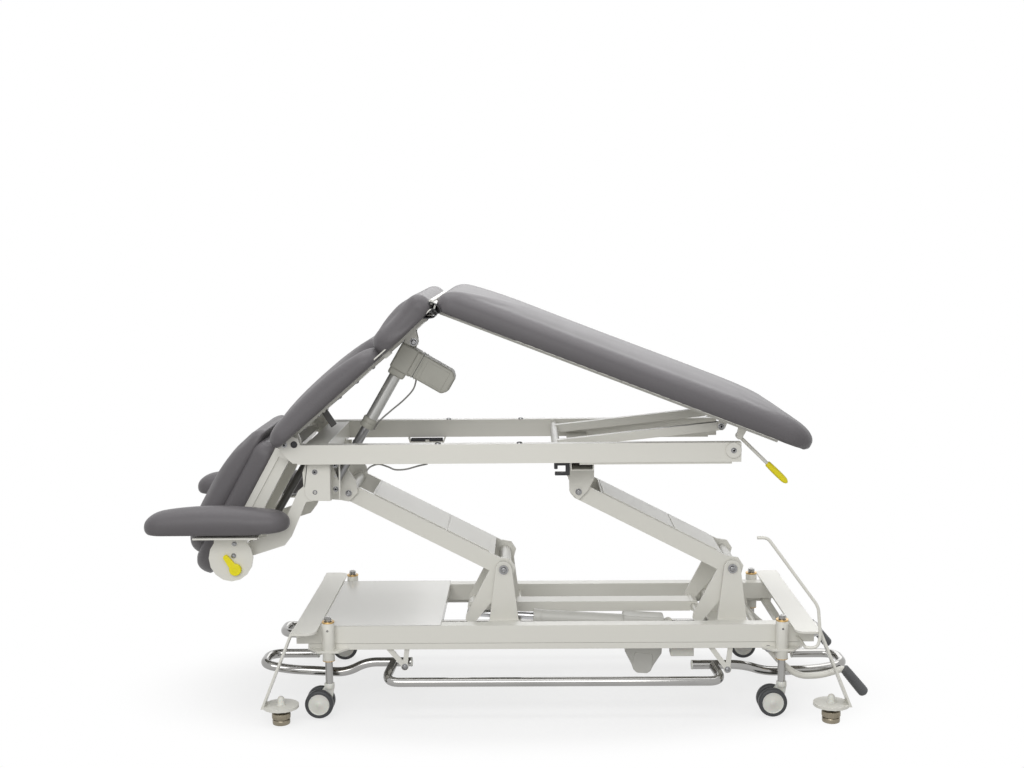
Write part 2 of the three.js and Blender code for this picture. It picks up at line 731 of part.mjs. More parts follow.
// Lift arms: a box arm between cheeks, with a bell crank below its lower pivot
const armBoxHeight = 48;
const armWall = 3;
const armBoxStart = 42;
const armBoxEnd = 62;
const armHeadRadius = 24;
const barrelRadius = 19;
const crankRootRadius = 34;
const crankEndRadius = 17;
const armAngle = Math.atan2(armRise, armRun);
const linkY0 = 0;
const linkY1 = 60;
const rodEyeHalf = 12;

function liftArm(pivotX, hasRodGap) {
  const upperX = pivotX - armRun;
  const crankX = pivotX - crankBack;
  const crankZ = lowerPivotZ - crankDrop;
  const box = tubeAlong(-armLength + armBoxEnd, -armBoxStart, -armHalfWidth, armHalfWidth,
    -armBoxHeight / 2, armBoxHeight / 2, armWall);
  box.rotateY(armAngle).translate(pivotX, 0, lowerPivotZ);
  const parts = [box];
  const cuts = [];
  for (const side of [-1, 1]) {
    const y0 = side < 0 ? -armHalfWidth : armHalfWidth - plateThickness;
    const y1 = y0 + plateThickness;
    parts.push(slabAcross(
      linkOutline(pivotX, lowerPivotZ, armHeadRadius, upperX, upperPivotZ, armHeadRadius), y0, y1));
    parts.push(slabAcross(
      linkOutline(pivotX, lowerPivotZ, crankRootRadius, crankX, crankZ, crankEndRadius), y0, y1));
  }
  parts.push(barAcross(pivotX, lowerPivotZ, barrelRadius, -armHalfWidth, armHalfWidth, roundSides));
  parts.push(barAcross(upperX, upperPivotZ, barrelRadius, -armHalfWidth, armHalfWidth, roundSides));
  const pinY0 = hasRodGap ? actuatorY + rodEyeHalf + stubGap : -armHalfWidth;
  parts.push(barAcross(crankX, crankZ, linkPinRadius, pinY0, armHalfWidth));
  if (hasRodGap) {
    parts.push(barAcross(crankX, crankZ, linkPinRadius, -armHalfWidth, actuatorY - rodEyeHalf - stubGap));
  }
  for (const [x, z] of [[pivotX, lowerPivotZ], [upperX, upperPivotZ]]) {
    cuts.push(barAcross(x, z, pivotPinRadius + turnGap, -armHalfWidth - cutOverrun, armHalfWidth + cutOverrun,
      roundSides));
  }
  return weld(parts, cuts);
}
piece('head_lift_arm', liftArm(headLowerPivotX, true), paint);
piece('foot_lift_arm', liftArm(footLowerPivotX, false), paint);

// Link bar between the two bell cranks
const linkHeight = 30;
const linkEyeRadius = 16;
const linkTubeInset = 10;
const linkZ = lowerPivotZ - crankDrop;
const linkHeadX = headLowerPivotX - crankBack;
const linkFootX = footLowerPivotX - crankBack;
const linkBar = weld([
  tubeAlong(linkHeadX + linkTubeInset, linkFootX - linkTubeInset, linkY0, linkY1, linkZ - linkHeight / 2,
    linkZ + linkHeight / 2, tubeWall),
  barAcross(linkHeadX, linkZ, linkEyeRadius, linkY0, linkY1, roundSides),
  barAcross(linkFootX, linkZ, linkEyeRadius, linkY0, linkY1, roundSides),
], [
  barAcross(linkHeadX, linkZ, linkPinRadius + turnGap, linkY0 - cutOverrun, linkY1 + cutOverrun, roundSides),
  barAcross(linkFootX, linkZ, linkPinRadius + turnGap, linkY0 - cutOverrun, linkY1 + cutOverrun, roundSides),
  barUp(linkHeadX + drainInset, (linkY0 + linkY1) / 2, drainRadius, linkZ - linkHeight, linkZ),
  barUp(linkFootX - drainInset, (linkY0 + linkY1) / 2, drainRadius, linkZ - linkHeight, linkZ),
]);
piece('link_bar', linkBar, paint);

// Linear actuators: local X runs from the rear pivot to the rod end, the motor along local Z
function actuatorBody(size) {
  const parts = [
    block(size.boxStart, size.boxEnd, -size.boxHalf, size.boxHalf, -size.boxBack, size.boxFront),
    block(0, size.boxStart + cutOverrun, -size.lugHalf, size.lugHalf, -size.lugRadius, size.lugRadius),
    barAcross(0, 0, size.lugRadius, -size.lugHalf, size.lugHalf),
    barAlong(0, 0, size.tubeRadius, size.boxEnd - cutOverrun, size.tubeEnd, roundSides),
    barAlong(0, 0, size.collarRadius, size.tubeEnd - size.collarLength, size.tubeEnd, roundSides),
    size.motor,
  ];
  return weld(parts, [
    barAlong(0, 0, size.rodRadius + turnGap, size.boreStart, size.tubeEnd + cutOverrun, roundSides),
    barAcross(0, 0, actuatorPinRadius + turnGap, -size.lugHalf - cutOverrun, size.lugHalf + cutOverrun),
  ]);
}

function actuatorRod(size) {
  return weld([
    barAlong(0, 0, size.rodRadius, size.rodStart, size.rodEnd - size.eyeRadius / 2, roundSides),
    barAcross(size.rodEnd, 0, size.eyeRadius, -size.eyeHalf, size.eyeHalf, roundSides),
  ]);
}

// Height actuator under the link bar, motor hanging down
const liftRodReach = Math.hypot(actuatorPivotX - linkHeadX, linkZ - actuatorPivotZ);
const liftActuatorTurn = Math.PI + Math.atan2(linkZ - actuatorPivotZ, actuatorPivotX - linkHeadX);
const liftSize = {
  boxStart: 16, boxEnd: 137, boxHalf: 34, boxBack: 24, boxFront: 66, lugRadius: 11,
  lugHalf: actuatorCheekGap - actuatorCheek - seatGap, tubeRadius: 20, tubeEnd: 400, collarRadius: 22,
  collarLength: 24, rodRadius: 11, boreStart: 122, rodStart: 242, rodEnd: liftRodReach, eyeRadius: 15,
  eyeHalf: rodEyeHalf,
};
const liftMotorX = 72;
const liftMotorHalf = 32;
const liftMotorShoulder = 54;
const liftMotorShoulderEnd = 84;
const liftMotorTaperEnd = 122;
const liftMotorEnd = 146;
const liftMotorRound = 14;
liftSize.motor = slabAcross([
  [liftMotorX - liftMotorShoulder, 0], [liftMotorX + liftMotorShoulder, 0],
  [liftMotorX + liftMotorShoulder, liftMotorShoulderEnd], [liftMotorX + liftMotorHalf, liftMotorTaperEnd],
  [liftMotorX + liftMotorHalf - liftMotorRound / 2, liftMotorEnd - liftMotorRound / 2],
  [liftMotorX + liftMotorHalf - liftMotorRound, liftMotorEnd],
  [liftMotorX - liftMotorHalf + liftMotorRound, liftMotorEnd],
  [liftMotorX - liftMotorHalf + liftMotorRound / 2, liftMotorEnd - liftMotorRound / 2],
  [liftMotorX - liftMotorHalf, liftMotorTaperEnd], [liftMotorX - liftMotorShoulder, liftMotorShoulderEnd],
], -liftMotorHalf, liftMotorHalf);
const liftGroup = tilted(actuatorPivotX, actuatorPivotZ, liftActuatorTurn, couch, actuatorY);
piece('lift_actuator_body', actuatorBody(liftSize), motorGrey, liftGroup);
piece('lift_actuator_rod', actuatorRod(liftSize), rodGrey, liftGroup);

// Upper rails with the section lugs at the head end and a cap at the foot end
const lugInnerY = upperRailOuterY - plateThickness;
const sectionPinRadius = 8;
const torsoEarInnerY = 230.5;
const headEarInnerY = 243;
const lugOutline = [
  [-700, 724], [-700, 772], [-708, 794], [-722, 800], [-740, 788], [-757, 775], [-758, 765], [-742, 742],
  [-722, 724],
];
const capX = 495;
const capZ = 754;
const capRadius = 21;
const capHeight = 6;
const lipStart = 72;
const lipEnd = 492;
const lipHeight = 6;
const lipInset = 5;
function upperRail(side) {
  const railY = side < 0 ? -upperRailOuterY : upperRailInnerY;
  const lugY = side < 0 ? -upperRailOuterY : lugInnerY;
  const pin = (x, innerY) => barAcross(x, torsoPivotZ, sectionPinRadius,
    side < 0 ? -lugInnerY - cutOverrun : innerY, side < 0 ? -innerY : lugInnerY + cutOverrun);
  const capY = side < 0 ? -upperRailOuterY - capHeight : upperRailOuterY;
  return weld([
    tubeAlong(upperRailHeadX, upperRailFootX, railY, railY + upperRailWidth, upperRailBottom, upperRailTop,
      tubeWall),
    slabAcross(lugOutline, lugY, lugY + plateThickness),
    pin(torsoPivotX, torsoEarInnerY),
    pin(headPivotX, headEarInnerY - turnGap),
    barAcross(capX, capZ, capRadius, capY, capY + capHeight, roundSides),
    block(lipStart, lipEnd, railY + lipInset, railY + upperRailWidth - lipInset, upperRailBottom - lipHeight,
      upperRailBottom + tubeWall / 2),
  ]);
}
piece('upper_rail_near', upperRail(-1), paint);
piece('upper_rail_far', upperRail(1), paint);

// Torso actuator pivots, used by the brackets that carry it
const clevisAlong = 428;
const clevisDrop = -8;
const rodFootX = -628;
const rodFootZ = 640;
const cheekGap = 20;
const rodCheekClear = 30;
const torsoActuatorY = -(uprightOuterY + rodCheekClear);

// Head bracket: cross tube, arm cheeks, armrest cheeks and the lugs of two rods
const crossHeadX0 = -690;
const crossHeadX1 = -630;
const crossHeadBottom = 723;
const crossHeadTop = 773;
const armrestPivotX = -668;
const armrestPivotZ = 636;
const armrestCheekY = 214;
const armrestPinRadius = 8;
const gasY = 0;
const gasTopX = -716;
const gasTopZ = 706;
const gasCheekGap = 15;
const gasCheekRadius = 12;
const gasPinRadius = 5;
const lobeRadius = 26;
const armCheek = [
  [-712, 640], [-690, 600], [-612, 594], [headUpperPivotX, upperPivotZ - lobeRadius],
  [headUpperPivotX + lobeRadius, upperPivotZ], [-566, 648], [-600, 700], [-634, 740], [-686, 740],
  [-712, 700],
];
const armrestCheek = [[-700, 610], [-640, 610], [-634, 740], [-686, 740], [-704, 690]];
const rodCheek = [
  [-686, 740], [-690, 700], [-652, 626], [-612, 622], [-604, 650], [-634, 730], [-640, 740],
];
const gasCheek = [[-664, 766], [-664, 730], [-712, 694], [-728, 700], [-724, 716], [-690, 760]];
const headBracketParts = [
  tubeAcross(crossHeadX0, crossHeadX1, -upperRailInnerY + seatGap, upperRailInnerY - seatGap, crossHeadBottom,
    crossHeadTop, tubeWall),
  barAcross(headUpperPivotX, upperPivotZ, pivotPinRadius, -uprightOuterY, uprightOuterY),
  barAcross(gasTopX, gasTopZ, gasPinRadius, gasY - gasCheekGap, gasY + gasCheekGap),
];
for (const side of [-1, 1]) {
  const armY = side < 0 ? -uprightOuterY : uprightInnerY;
  headBracketParts.push(slabAcross(armCheek, armY, armY + plateThickness));
  const headY = side < 0 ? -uprightOuterY - boltHeadHeight : uprightOuterY;
  headBracketParts.push(barAcross(headUpperPivotX, upperPivotZ, boltHeadRadius, headY, headY + boltHeadHeight,
    boltSides));
  const restY = side < 0 ? -armrestCheekY - plateThickness : armrestCheekY;
  headBracketParts.push(slabAcross(armrestCheek, restY, restY + plateThickness));
  const pinInner = side * armrestCheekY;
  const pinOuter = side * (armrestCheekY + 2 * plateThickness + seatGap * 2);
  headBracketParts.push(barAcross(armrestPivotX, armrestPivotZ, armrestPinRadius,
    Math.min(pinInner, pinOuter), Math.max(pinInner, pinOuter)));
  const rodY = torsoActuatorY + (side < 0 ? -cheekGap - actuatorCheek : cheekGap);
  headBracketParts.push(slabAcross(rodCheek, rodY, rodY + actuatorCheek));
  const gasCheekY = gasY + (side < 0 ? -gasCheekGap : gasCheekGap - actuatorCheek);
  headBracketParts.push(slabAcross(gasCheek, gasCheekY, gasCheekY + actuatorCheek));
}
piece('head_bracket', weld(headBracketParts), paint);

// Foot bracket: cross tube and cheeks for the foot arm
const crossFootX0 = 48;
const crossFootX1 = 112;
const crossFootBottom = 694;
const crossFootTop = 732;
const footCheek = [
  [46, 660], [footUpperPivotX - lobeRadius, upperPivotZ], [footUpperPivotX, upperPivotZ - lobeRadius],
  [footUpperPivotX + lobeRadius, upperPivotZ], [118, 650], [118, 700], [46, 700],
];
const footBracketParts = [
  tubeAcross(crossFootX0, crossFootX1, -upperRailInnerY + seatGap, upperRailInnerY - seatGap, crossFootBottom,
    crossFootTop, tubeWall),
  barAcross(footUpperPivotX, upperPivotZ, pivotPinRadius, -uprightOuterY, uprightOuterY),
];
for (const side of [-1, 1]) {
  const armY = side < 0 ? -uprightOuterY : uprightInnerY;
  footBracketParts.push(slabAcross(footCheek, armY, armY + plateThickness));
  const headY = side < 0 ? -uprightOuterY - boltHeadHeight : uprightOuterY;
  footBracketParts.push(barAcross(footUpperPivotX, upperPivotZ, boltHeadRadius, headY, headY + boltHeadHeight,
    boltSides));
}
piece('foot_bracket', weld(footBracketParts), paint);

// Torso section, local X towards the ridge and local Z out of the cushions
const torso = tilted(torsoPivotX, torsoPivotZ, -torsoTilt);
const torsoTubeOuterY = 230;
const torsoTubeWidth = 30;
const torsoTubeTop = boardRise - seatGap - sheetThick;
const torsoTubeBottom = 14;
const torsoHeadEnd = -31;
const torsoTubeStart = -8;
const torsoBoardEnd = 539;
const torsoBoardWideStart = 24;
const torsoBoardNarrowHalf = 229;
const torsoTubeEnd = 530;
const earRadius = 16;
const boardHalfWidth = 332;
const hingeRadius = 7;
const hingePinRadius = 3;
const hingeBreaks = [60, 200, 320];
const hingeGap = 0.5;
const leafThick = 4;
const leafBack = 16;
const torsoCrossPlaces = [60, 250, 470];
const torsoCrossHalf = 14;
const clevisPlate = 6;
const clevisHalf = 22;
const clevisFoot = 34;
const latchAlong = [352, 374];
const latchAcross = [262, 284];
const latchDrop = 18;
const torsoParts = [
  block(torsoBoardWideStart, torsoBoardEnd, -boardHalfWidth, boardHalfWidth, torsoTubeTop,
    boardRise - seatGap),
  block(torsoHeadEnd, torsoBoardEnd, -torsoBoardNarrowHalf, torsoBoardNarrowHalf, torsoTubeTop,
    boardRise - seatGap),
  barAcross(ridgeAlong, ridgeRise, hingePinRadius, -hingeBreaks[2], hingeBreaks[2]),
  barAcross(clevisAlong, clevisDrop, actuatorPinRadius, torsoActuatorY - clevisHalf,
    torsoActuatorY + clevisHalf),
];
const torsoCuts = [];
const releaseAlong = 113;
const releaseTop = 14;
const releaseY = 190;
const releaseThick = 9;
const releasePinRadius = 3;
torsoParts.push(barAcross(releaseAlong, releaseTop, releasePinRadius, -torsoTubeOuterY + torsoTubeWidth / 2,
  -releaseY + stubGap));
for (const along of torsoCrossPlaces) {
  torsoParts.push(block(along - torsoCrossHalf, along + torsoCrossHalf, -torsoTubeOuterY, torsoTubeOuterY,
    torsoTubeBottom, torsoTubeTop + sheetThick / 2));
}
for (const side of [-1, 1]) {
  const tubeY = side < 0 ? -torsoTubeOuterY : torsoTubeOuterY - torsoTubeWidth;
  torsoParts.push(block(torsoTubeStart, torsoTubeEnd, tubeY, tubeY + torsoTubeWidth, torsoTubeBottom,
    torsoTubeTop + sheetThick / 2));
  const earY = side < 0 ? -torsoEarInnerY - plateThickness : torsoTubeOuterY - cutOverrun;
  const earDepth = plateThickness + torsoEarInnerY - torsoTubeOuterY + cutOverrun;
  torsoParts.push(slabAcross(linkOutline(0, 0, earRadius, earRadius, torsoTubeTop - hingeRadius, hingeRadius),
    earY, earY + earDepth));
  torsoCuts.push(barAcross(0, 0, sectionPinRadius + turnGap, side < 0 ? -torsoEarInnerY - 2 * plateThickness
    : torsoTubeOuterY - torsoTubeWidth / 2, side < 0 ? -torsoTubeOuterY + torsoTubeWidth / 2
    : torsoEarInnerY + 2 * plateThickness));
  const [y0, y1] = side < 0 ? [-hingeBreaks[1], -hingeBreaks[0]] : [hingeBreaks[0], hingeBreaks[1]];
  torsoParts.push(barAcross(ridgeAlong, ridgeRise, hingeRadius, y0, y1));
  torsoParts.push(block(ridgeAlong - leafBack, ridgeAlong - leafBack + leafThick, y0, y1,
    boardRise - seatGap - sheetThick, ridgeRise));
  torsoParts.push(block(ridgeAlong - leafBack, ridgeAlong, y0, y1, ridgeRise - leafThick / 2,
    ridgeRise + leafThick / 2));
  const plateY = torsoActuatorY + (side < 0 ? -clevisHalf : clevisHalf - clevisPlate);
  torsoParts.push(slabAcross([
    [clevisAlong - clevisFoot, torsoTubeTop + sheetThick / 2], [clevisAlong - hingeRadius * 2, clevisDrop],
    [clevisAlong, clevisDrop - hingeRadius * 2], [clevisAlong + hingeRadius * 2, clevisDrop],
    [clevisAlong + clevisFoot, torsoTubeTop + sheetThick / 2],
  ], plateY, plateY + clevisPlate));
}
torsoParts.push(block(latchAlong[0], latchAlong[1], -latchAcross[1], -latchAcross[0],
  boardRise - seatGap - sheetThick - latchDrop, boardRise - seatGap));
piece('torso_frame', weld(torsoParts, torsoCuts), paint, torso);

// Torso cushions: centre, two side cushions and the full-width pelvic cushion
const sideSeam = 234;
const cushionSeam = 3;
const torsoCushionStart = -40;
const pelvicStart = 358;
const pelvicEnd = 534;
const smallCorner = 26;
const sideLowCorner = 46;
const sideHighCorner = 92;
const pelvicCorner = 34;
const pelvicNotchCorner = 84;
piece('torso_cushion_centre', pad(torsoCushionStart, pelvicStart - cushionSeam, -sideSeam + cushionSeam,
  sideSeam - cushionSeam, boardRise, cushionThick, cushionCrown,
  [smallCorner, smallCorner, smallCorner, smallCorner]), leatherette, torso);
piece('torso_cushion_near', pad(torsoCushionStart, pelvicStart - cushionSeam, -couchHalfWidth, -sideSeam,
  boardRise, cushionThick, cushionCrown / 2, [sideLowCorner, sideHighCorner, smallCorner, smallCorner]),
leatherette, torso);
piece('torso_cushion_far', pad(torsoCushionStart, pelvicStart - cushionSeam, sideSeam, couchHalfWidth,
  boardRise, cushionThick, cushionCrown / 2, [smallCorner, smallCorner, sideHighCorner, sideLowCorner]),
leatherette, torso);
piece('pelvic_cushion', pad(pelvicStart, pelvicEnd, -couchHalfWidth, couchHalfWidth, boardRise,
  cushionThick, cushionCrown, [pelvicNotchCorner, pelvicCorner, pelvicCorner, pelvicNotchCorner]),
leatherette, torso);

// Release lever under the near side cushion
const releaseLength = 46;
const releaseWidth = 14;
const releaseGroup = tilted(releaseAlong, releaseTop, 0, torso);
piece('torso_release_lever', weld([slabAcross(
  linkOutline(0, 0, releaseWidth / 2, -releaseThick, -releaseLength, releaseWidth / 2),
  -releaseY - releaseThick, -releaseY)], [barAcross(0, 0, releasePinRadius + turnGap,
  -releaseY - releaseThick - cutOverrun, -releaseY + cutOverrun)]), blackPlastic, releaseGroup);

// Leg section, local X away from the ridge and local Z out of the cushion
const ridge = new THREE.Vector3(ridgeAlong, 0, ridgeRise)
  .applyAxisAngle(new THREE.Vector3(0, 1, 0), -torsoTilt);
const ridgeX = torsoPivotX + ridge.x;
const ridgeZ = torsoPivotZ + ridge.z;
const leg = tilted(ridgeX, ridgeZ, legTilt);
const legStart = 14;
const legEnd = 1117;
const legBase = -ridgeAboveBoard;
const legBoardEnd = 1060;
const legBoardWide = [250, 1012];
const legTubeStart = 30;
const legTubeEnd = 1027;
const legTubeOuterY = 252;
const legTubeWidth = 26;
const legTubeDrop = 12;
const legBoardBottom = legBase - seatGap - sheetThick;
const propAlong = 880;
const propDrop = -47;
const propEarRadius = 12;
const propPinRadius = 6;
const propOuterY = 168;
const propTube = 24;
const propEarY0 = propOuterY + turnGap;
const leverAlong = 931;
const leverDrop = -52;
const leverY = 200;
const leverHubRadius = 9;
const leverHubHalf = 8;
const leverPinRadius = 4;
const legCrossPlaces = [120, 480, propAlong, 1000];
const legCrossHalf = 14;
const legParts = [
  block(leafBack - leafThick, legBoardEnd, -legTubeOuterY, legTubeOuterY, legBoardBottom, legBase - seatGap),
  block(legBoardWide[0], legBoardWide[1], -boardHalfWidth, boardHalfWidth, legBoardBottom, legBase - seatGap),
];
const legCuts = [];
for (const along of legCrossPlaces) {
  legParts.push(block(along - legCrossHalf, along + legCrossHalf, -legTubeOuterY, legTubeOuterY,
    legBoardBottom - legTubeDrop, legBoardBottom + sheetThick / 2));
}
const legLeaf = (y0, y1) => [
  barAcross(0, 0, hingeRadius, y0, y1),
  block(0, leafBack, y0, y1, -leafThick / 2, leafThick / 2),
  block(leafBack - leafThick, leafBack, y0, y1, legBoardBottom, leafThick / 2),
];
legParts.push(...legLeaf(-hingeBreaks[0] + hingeGap, hingeBreaks[0] - hingeGap));
for (const side of [-1, 1]) {
  const tubeY = side < 0 ? -legTubeOuterY : legTubeOuterY - legTubeWidth;
  legParts.push(block(legTubeStart, legTubeEnd, tubeY, tubeY + legTubeWidth, legBoardBottom - legTubeDrop,
    legBoardBottom + sheetThick / 2));
  const [y0, y1] = side < 0 ? [-hingeBreaks[2], -hingeBreaks[1] - hingeGap]
    : [hingeBreaks[1] + hingeGap, hingeBreaks[2]];
  legParts.push(...legLeaf(y0, y1));
  const earY = side < 0 ? -propEarY0 - plateThickness : propEarY0;
  legParts.push(slabAcross(
    linkOutline(propAlong, propDrop, propEarRadius, propAlong, legBoardBottom - legTubeDrop, propEarRadius),
    earY, earY + plateThickness));
  legParts.push(barAcross(propAlong, propDrop, propPinRadius, side < 0 ? -propEarY0 - cutOverrun
    : propOuterY - propTube, side < 0 ? -propOuterY + propTube : propEarY0 + cutOverrun));
}
legParts.push(slabAcross(
  linkOutline(leverAlong, leverDrop, leverHubRadius, leverAlong, legBoardBottom - legTubeDrop, propEarRadius),
  -leverY - leverHubHalf - turnGap - plateThickness, -leverY - leverHubHalf - turnGap));
legParts.push(block(leverAlong - propEarRadius, legCrossPlaces[3],
  -leverY - leverHubHalf - turnGap - plateThickness, -leverY - leverHubHalf - turnGap,
  legBoardBottom - legTubeDrop, legBoardBottom + sheetThick / 2));
legParts.push(barAcross(leverAlong, leverDrop, leverPinRadius, -leverY - leverHubHalf - plateThickness,
  -leverY + leverHubHalf));
legCuts.push(barAcross(0, 0, hingePinRadius + turnGap, -hingeBreaks[2] - cutOverrun,
  hingeBreaks[2] + cutOverrun));
piece('leg_frame', weld(legParts, legCuts), paint, leg);

const legNoseCorner = 30;
const legEndCorner = 122;
piece('leg_cushion', pad(legStart, legEnd, -couchHalfWidth, couchHalfWidth, legBase, cushionThick,
  cushionCrown, [legNoseCorner, legEndCorner, legEndCorner, legNoseCorner]), leatherette, leg);

// Leg release lever with its yellow grip
const leverEndAlong = 1108;
const leverEndDrop = -128;
const leverWidth = 11;
const leverHalf = 3;
const gripAlongShare = 0.58;
const leverGripRadius = 9;
const leverGroup = tilted(leverAlong, leverDrop, 0, leg);
const leverRun = leverEndAlong - leverAlong;
const leverFall = leverEndDrop - leverDrop;
const gripFrom = [leverRun * gripAlongShare, leverFall * gripAlongShare];
const lever = weld([
  slabAcross(ribbon([[0, 0], gripFrom], leverWidth), -leverY - leverHalf, -leverY + leverHalf),
  barAcross(0, 0, leverHubRadius, -leverY - leverHubHalf, -leverY + leverHubHalf),
], [barAcross(0, 0, leverPinRadius + turnGap, -leverY - leverHubHalf - cutOverrun,
  -leverY + leverHubHalf + cutOverrun)]);
piece('leg_release_lever', lever, paint, leverGroup);
const gripLength = Math.hypot(leverRun - gripFrom[0], leverFall - gripFrom[1]);
const gripTaper = 3;
const leverGrip = turnedUp([
  [0, 0], [leverGripRadius - gripTaper, 0], [leverGripRadius, gripTaper * 2],
  [leverGripRadius, gripLength - gripTaper * 2], [leverGripRadius - gripTaper, gripLength], [0, gripLength],
], 0, 0, smallSides);
leverGrip.rotateY(Math.PI / 2 - Math.atan2(leverFall, leverRun));
leverGrip.translate(gripFrom[0] + seatGap, -leverY, gripFrom[1] - seatGap / 2);
piece('leg_release_grip', leverGrip, yellowPlastic, leverGroup);

// Prop frame that rolls between the upper rails under the leg section
const prop = new THREE.Vector3(propAlong, 0, propDrop).applyAxisAngle(new THREE.Vector3(0, 1, 0), legTilt);
const propX = ridgeX + prop.x;
const propZ = ridgeZ + prop.z;
const propFootX = 8;
const propFootZ = 757;
const propLength = Math.hypot(propX - propFootX, propZ - propFootZ);
const propTurn = -Math.atan2(propZ - propFootZ, propX - propFootX);
const propGroup = tilted(propX, propZ, propTurn);
const propRollerRadius = 12;
const propParts = [
  barAcross(-propLength, 0, propRollerRadius, -upperRailInnerY + turnGap, upperRailInnerY - turnGap),
];
const propCuts = [];
for (const side of [-1, 1]) {
  const y0 = side < 0 ? -propOuterY : propOuterY - propTube;
  propParts.push(tubeAlong(-propLength, -propEarRadius / 2, y0, y0 + propTube, -propTube / 2, propTube / 2,
    tubeWall));
  propParts.push(barAcross(0, 0, propEarRadius, y0, y0 + propTube));
  propCuts.push(barAcross(0, 0, propPinRadius + turnGap, y0 - cutOverrun, y0 + propTube + cutOverrun));
  propCuts.push(barUp(-drainInset, y0 + propTube / 2, drainRadius, -propTube, 0));
}
piece('leg_prop_frame', weld(propParts, propCuts), paint, propGroup);

// Torso actuator between the torso frame and the head bracket
const clevis = new THREE.Vector3(clevisAlong, 0, clevisDrop)
  .applyAxisAngle(new THREE.Vector3(0, 1, 0), -torsoTilt);
const clevisX = torsoPivotX + clevis.x;
const clevisZ = torsoPivotZ + clevis.z;
const torsoRodReach = Math.hypot(clevisX - rodFootX, clevisZ - rodFootZ);
const torsoActuatorTurn = Math.PI - Math.atan2(clevisZ - rodFootZ, clevisX - rodFootX);
const torsoSize = {
  boxStart: 18, boxEnd: 122, boxHalf: 32, boxBack: 26, boxFront: 36, lugRadius: 13,
  lugHalf: clevisHalf - clevisPlate - seatGap, tubeRadius: 17, tubeEnd: 280, collarRadius: 21,
  collarLength: 26, rodRadius: 13, boreStart: 30, rodStart: 150, rodEnd: torsoRodReach, eyeRadius: 15,
  eyeHalf: cheekGap - stubGap,
};
const torsoMotorStart = 22;
const torsoMotorEnd = 94;
const torsoMotorReach = 152;
const torsoMotorHalf = 35;
const torsoMotorChamfer = 16;
torsoSize.motor = slabAcross([
  [torsoMotorStart, 0], [torsoMotorEnd, 0], [torsoMotorEnd, torsoMotorReach - torsoMotorChamfer],
  [torsoMotorEnd - torsoMotorChamfer, torsoMotorReach],
  [torsoMotorStart + torsoMotorChamfer, torsoMotorReach],
  [torsoMotorStart, torsoMotorReach - torsoMotorChamfer],
], -torsoMotorHalf, torsoMotorHalf);
const torsoActuator = tilted(clevisX, clevisZ, torsoActuatorTurn, couch, torsoActuatorY);
piece('torso_actuator_body', actuatorBody(torsoSize), motorGrey, torsoActuator);
piece('torso_actuator_rod', actuatorRod(torsoSize), rodGrey, torsoActuator);

// Head section, local X towards the torso and local Z out of the cushion
const head = tilted(headPivotX, torsoPivotZ, -headTilt);
const headTubeInnerY = 165;
const headTubeWidth = 30;
const headTubeBottom = -26;
const headBoardBottom = 4;
const headBoardTop = 23.7;
const headBoardHalf = 200;
const headBoardStart = 34;
const headBoardEnd = 430;
const headTubeEnd = 400;
const headCrossStart = 14;
const headCrossEnd = 40;
const headEarRadius = 12;
const gasFootAlong = 330;
const gasFootDrop = -50;
const gasBarHalf = 10;
const headParts = [
  block(-headBoardEnd, -headBoardStart, -headBoardHalf, headBoardHalf, headBoardBottom, headBoardTop),
  block(-headCrossEnd, -headCrossStart, -headEarInnerY - plateThickness, headEarInnerY + plateThickness,
    headTubeBottom, headBoardBottom),
  block(-headTubeEnd, -headTubeEnd + headTubeWidth, -headTubeInnerY, headTubeInnerY, headTubeBottom,
    headBoardBottom + cutOverrun),
  block(-gasFootAlong - gasBarHalf, -gasFootAlong + gasBarHalf, -headTubeInnerY - cutOverrun,
    headTubeInnerY + cutOverrun, headTubeBottom, headBoardBottom - gasBarHalf),
];
const headCuts = [];
for (const side of [-1, 1]) {
  const y0 = side < 0 ? -headTubeInnerY - headTubeWidth : headTubeInnerY;
  headParts.push(block(-headTubeEnd, -headCrossStart, y0, y0 + headTubeWidth, headTubeBottom,
    headBoardBottom + cutOverrun));
  const earY = side < 0 ? -headEarInnerY - plateThickness : headEarInnerY;
  headParts.push(slabAcross(
    linkOutline(0, 0, headEarRadius, -headCrossEnd + headEarRadius, (headTubeBottom + headBoardBottom) / 2,
      headEarRadius), earY, earY + plateThickness));
  headCuts.push(barAcross(0, 0, sectionPinRadius + turnGap, earY - cutOverrun,
    earY + plateThickness + cutOverrun));
  const gasEarY = side < 0 ? -gasCheekGap : gasCheekGap - actuatorCheek;
  headParts.push(slabAcross(
    linkOutline(-gasFootAlong, gasFootDrop, gasCheekRadius, -gasFootAlong, headTubeBottom + gasBarHalf,
      gasCheekRadius), gasEarY, gasEarY + actuatorCheek));
}
piece('head_frame', weld(headParts, headCuts), paint, head);

// Head cushion with a raised upper layer
const headCushionHalf = 212;
const headCushionStart = 30;
const headCushionEnd = 478;
const headCushionBase = 24;
const headCushionThick = 56;
const headLayerStart = 46;
const headLayerEnd = 436;
const headLayerThick = 52;
const headLayerOverlap = 6;
const headCorner = 40;
const headEndCorner = 110;
const headLayerHalf = 196;
const headFlatCrown = 0.5;
const headCushion = weld([
  pad(-headCushionEnd, -headCushionStart, -headCushionHalf, headCushionHalf, headCushionBase,
    headCushionThick, headFlatCrown, [headEndCorner, headCorner, headCorner, headEndCorner]),
  pad(-headLayerEnd, -headLayerStart, -headLayerHalf, headLayerHalf,
    headCushionBase + headCushionThick - headLayerOverlap, headLayerThick, cushionCrown / 2,
    [headEndCorner, headCorner, headCorner, headEndCorner]),
]);
piece('head_cushion', headCushion, leatherette, head);

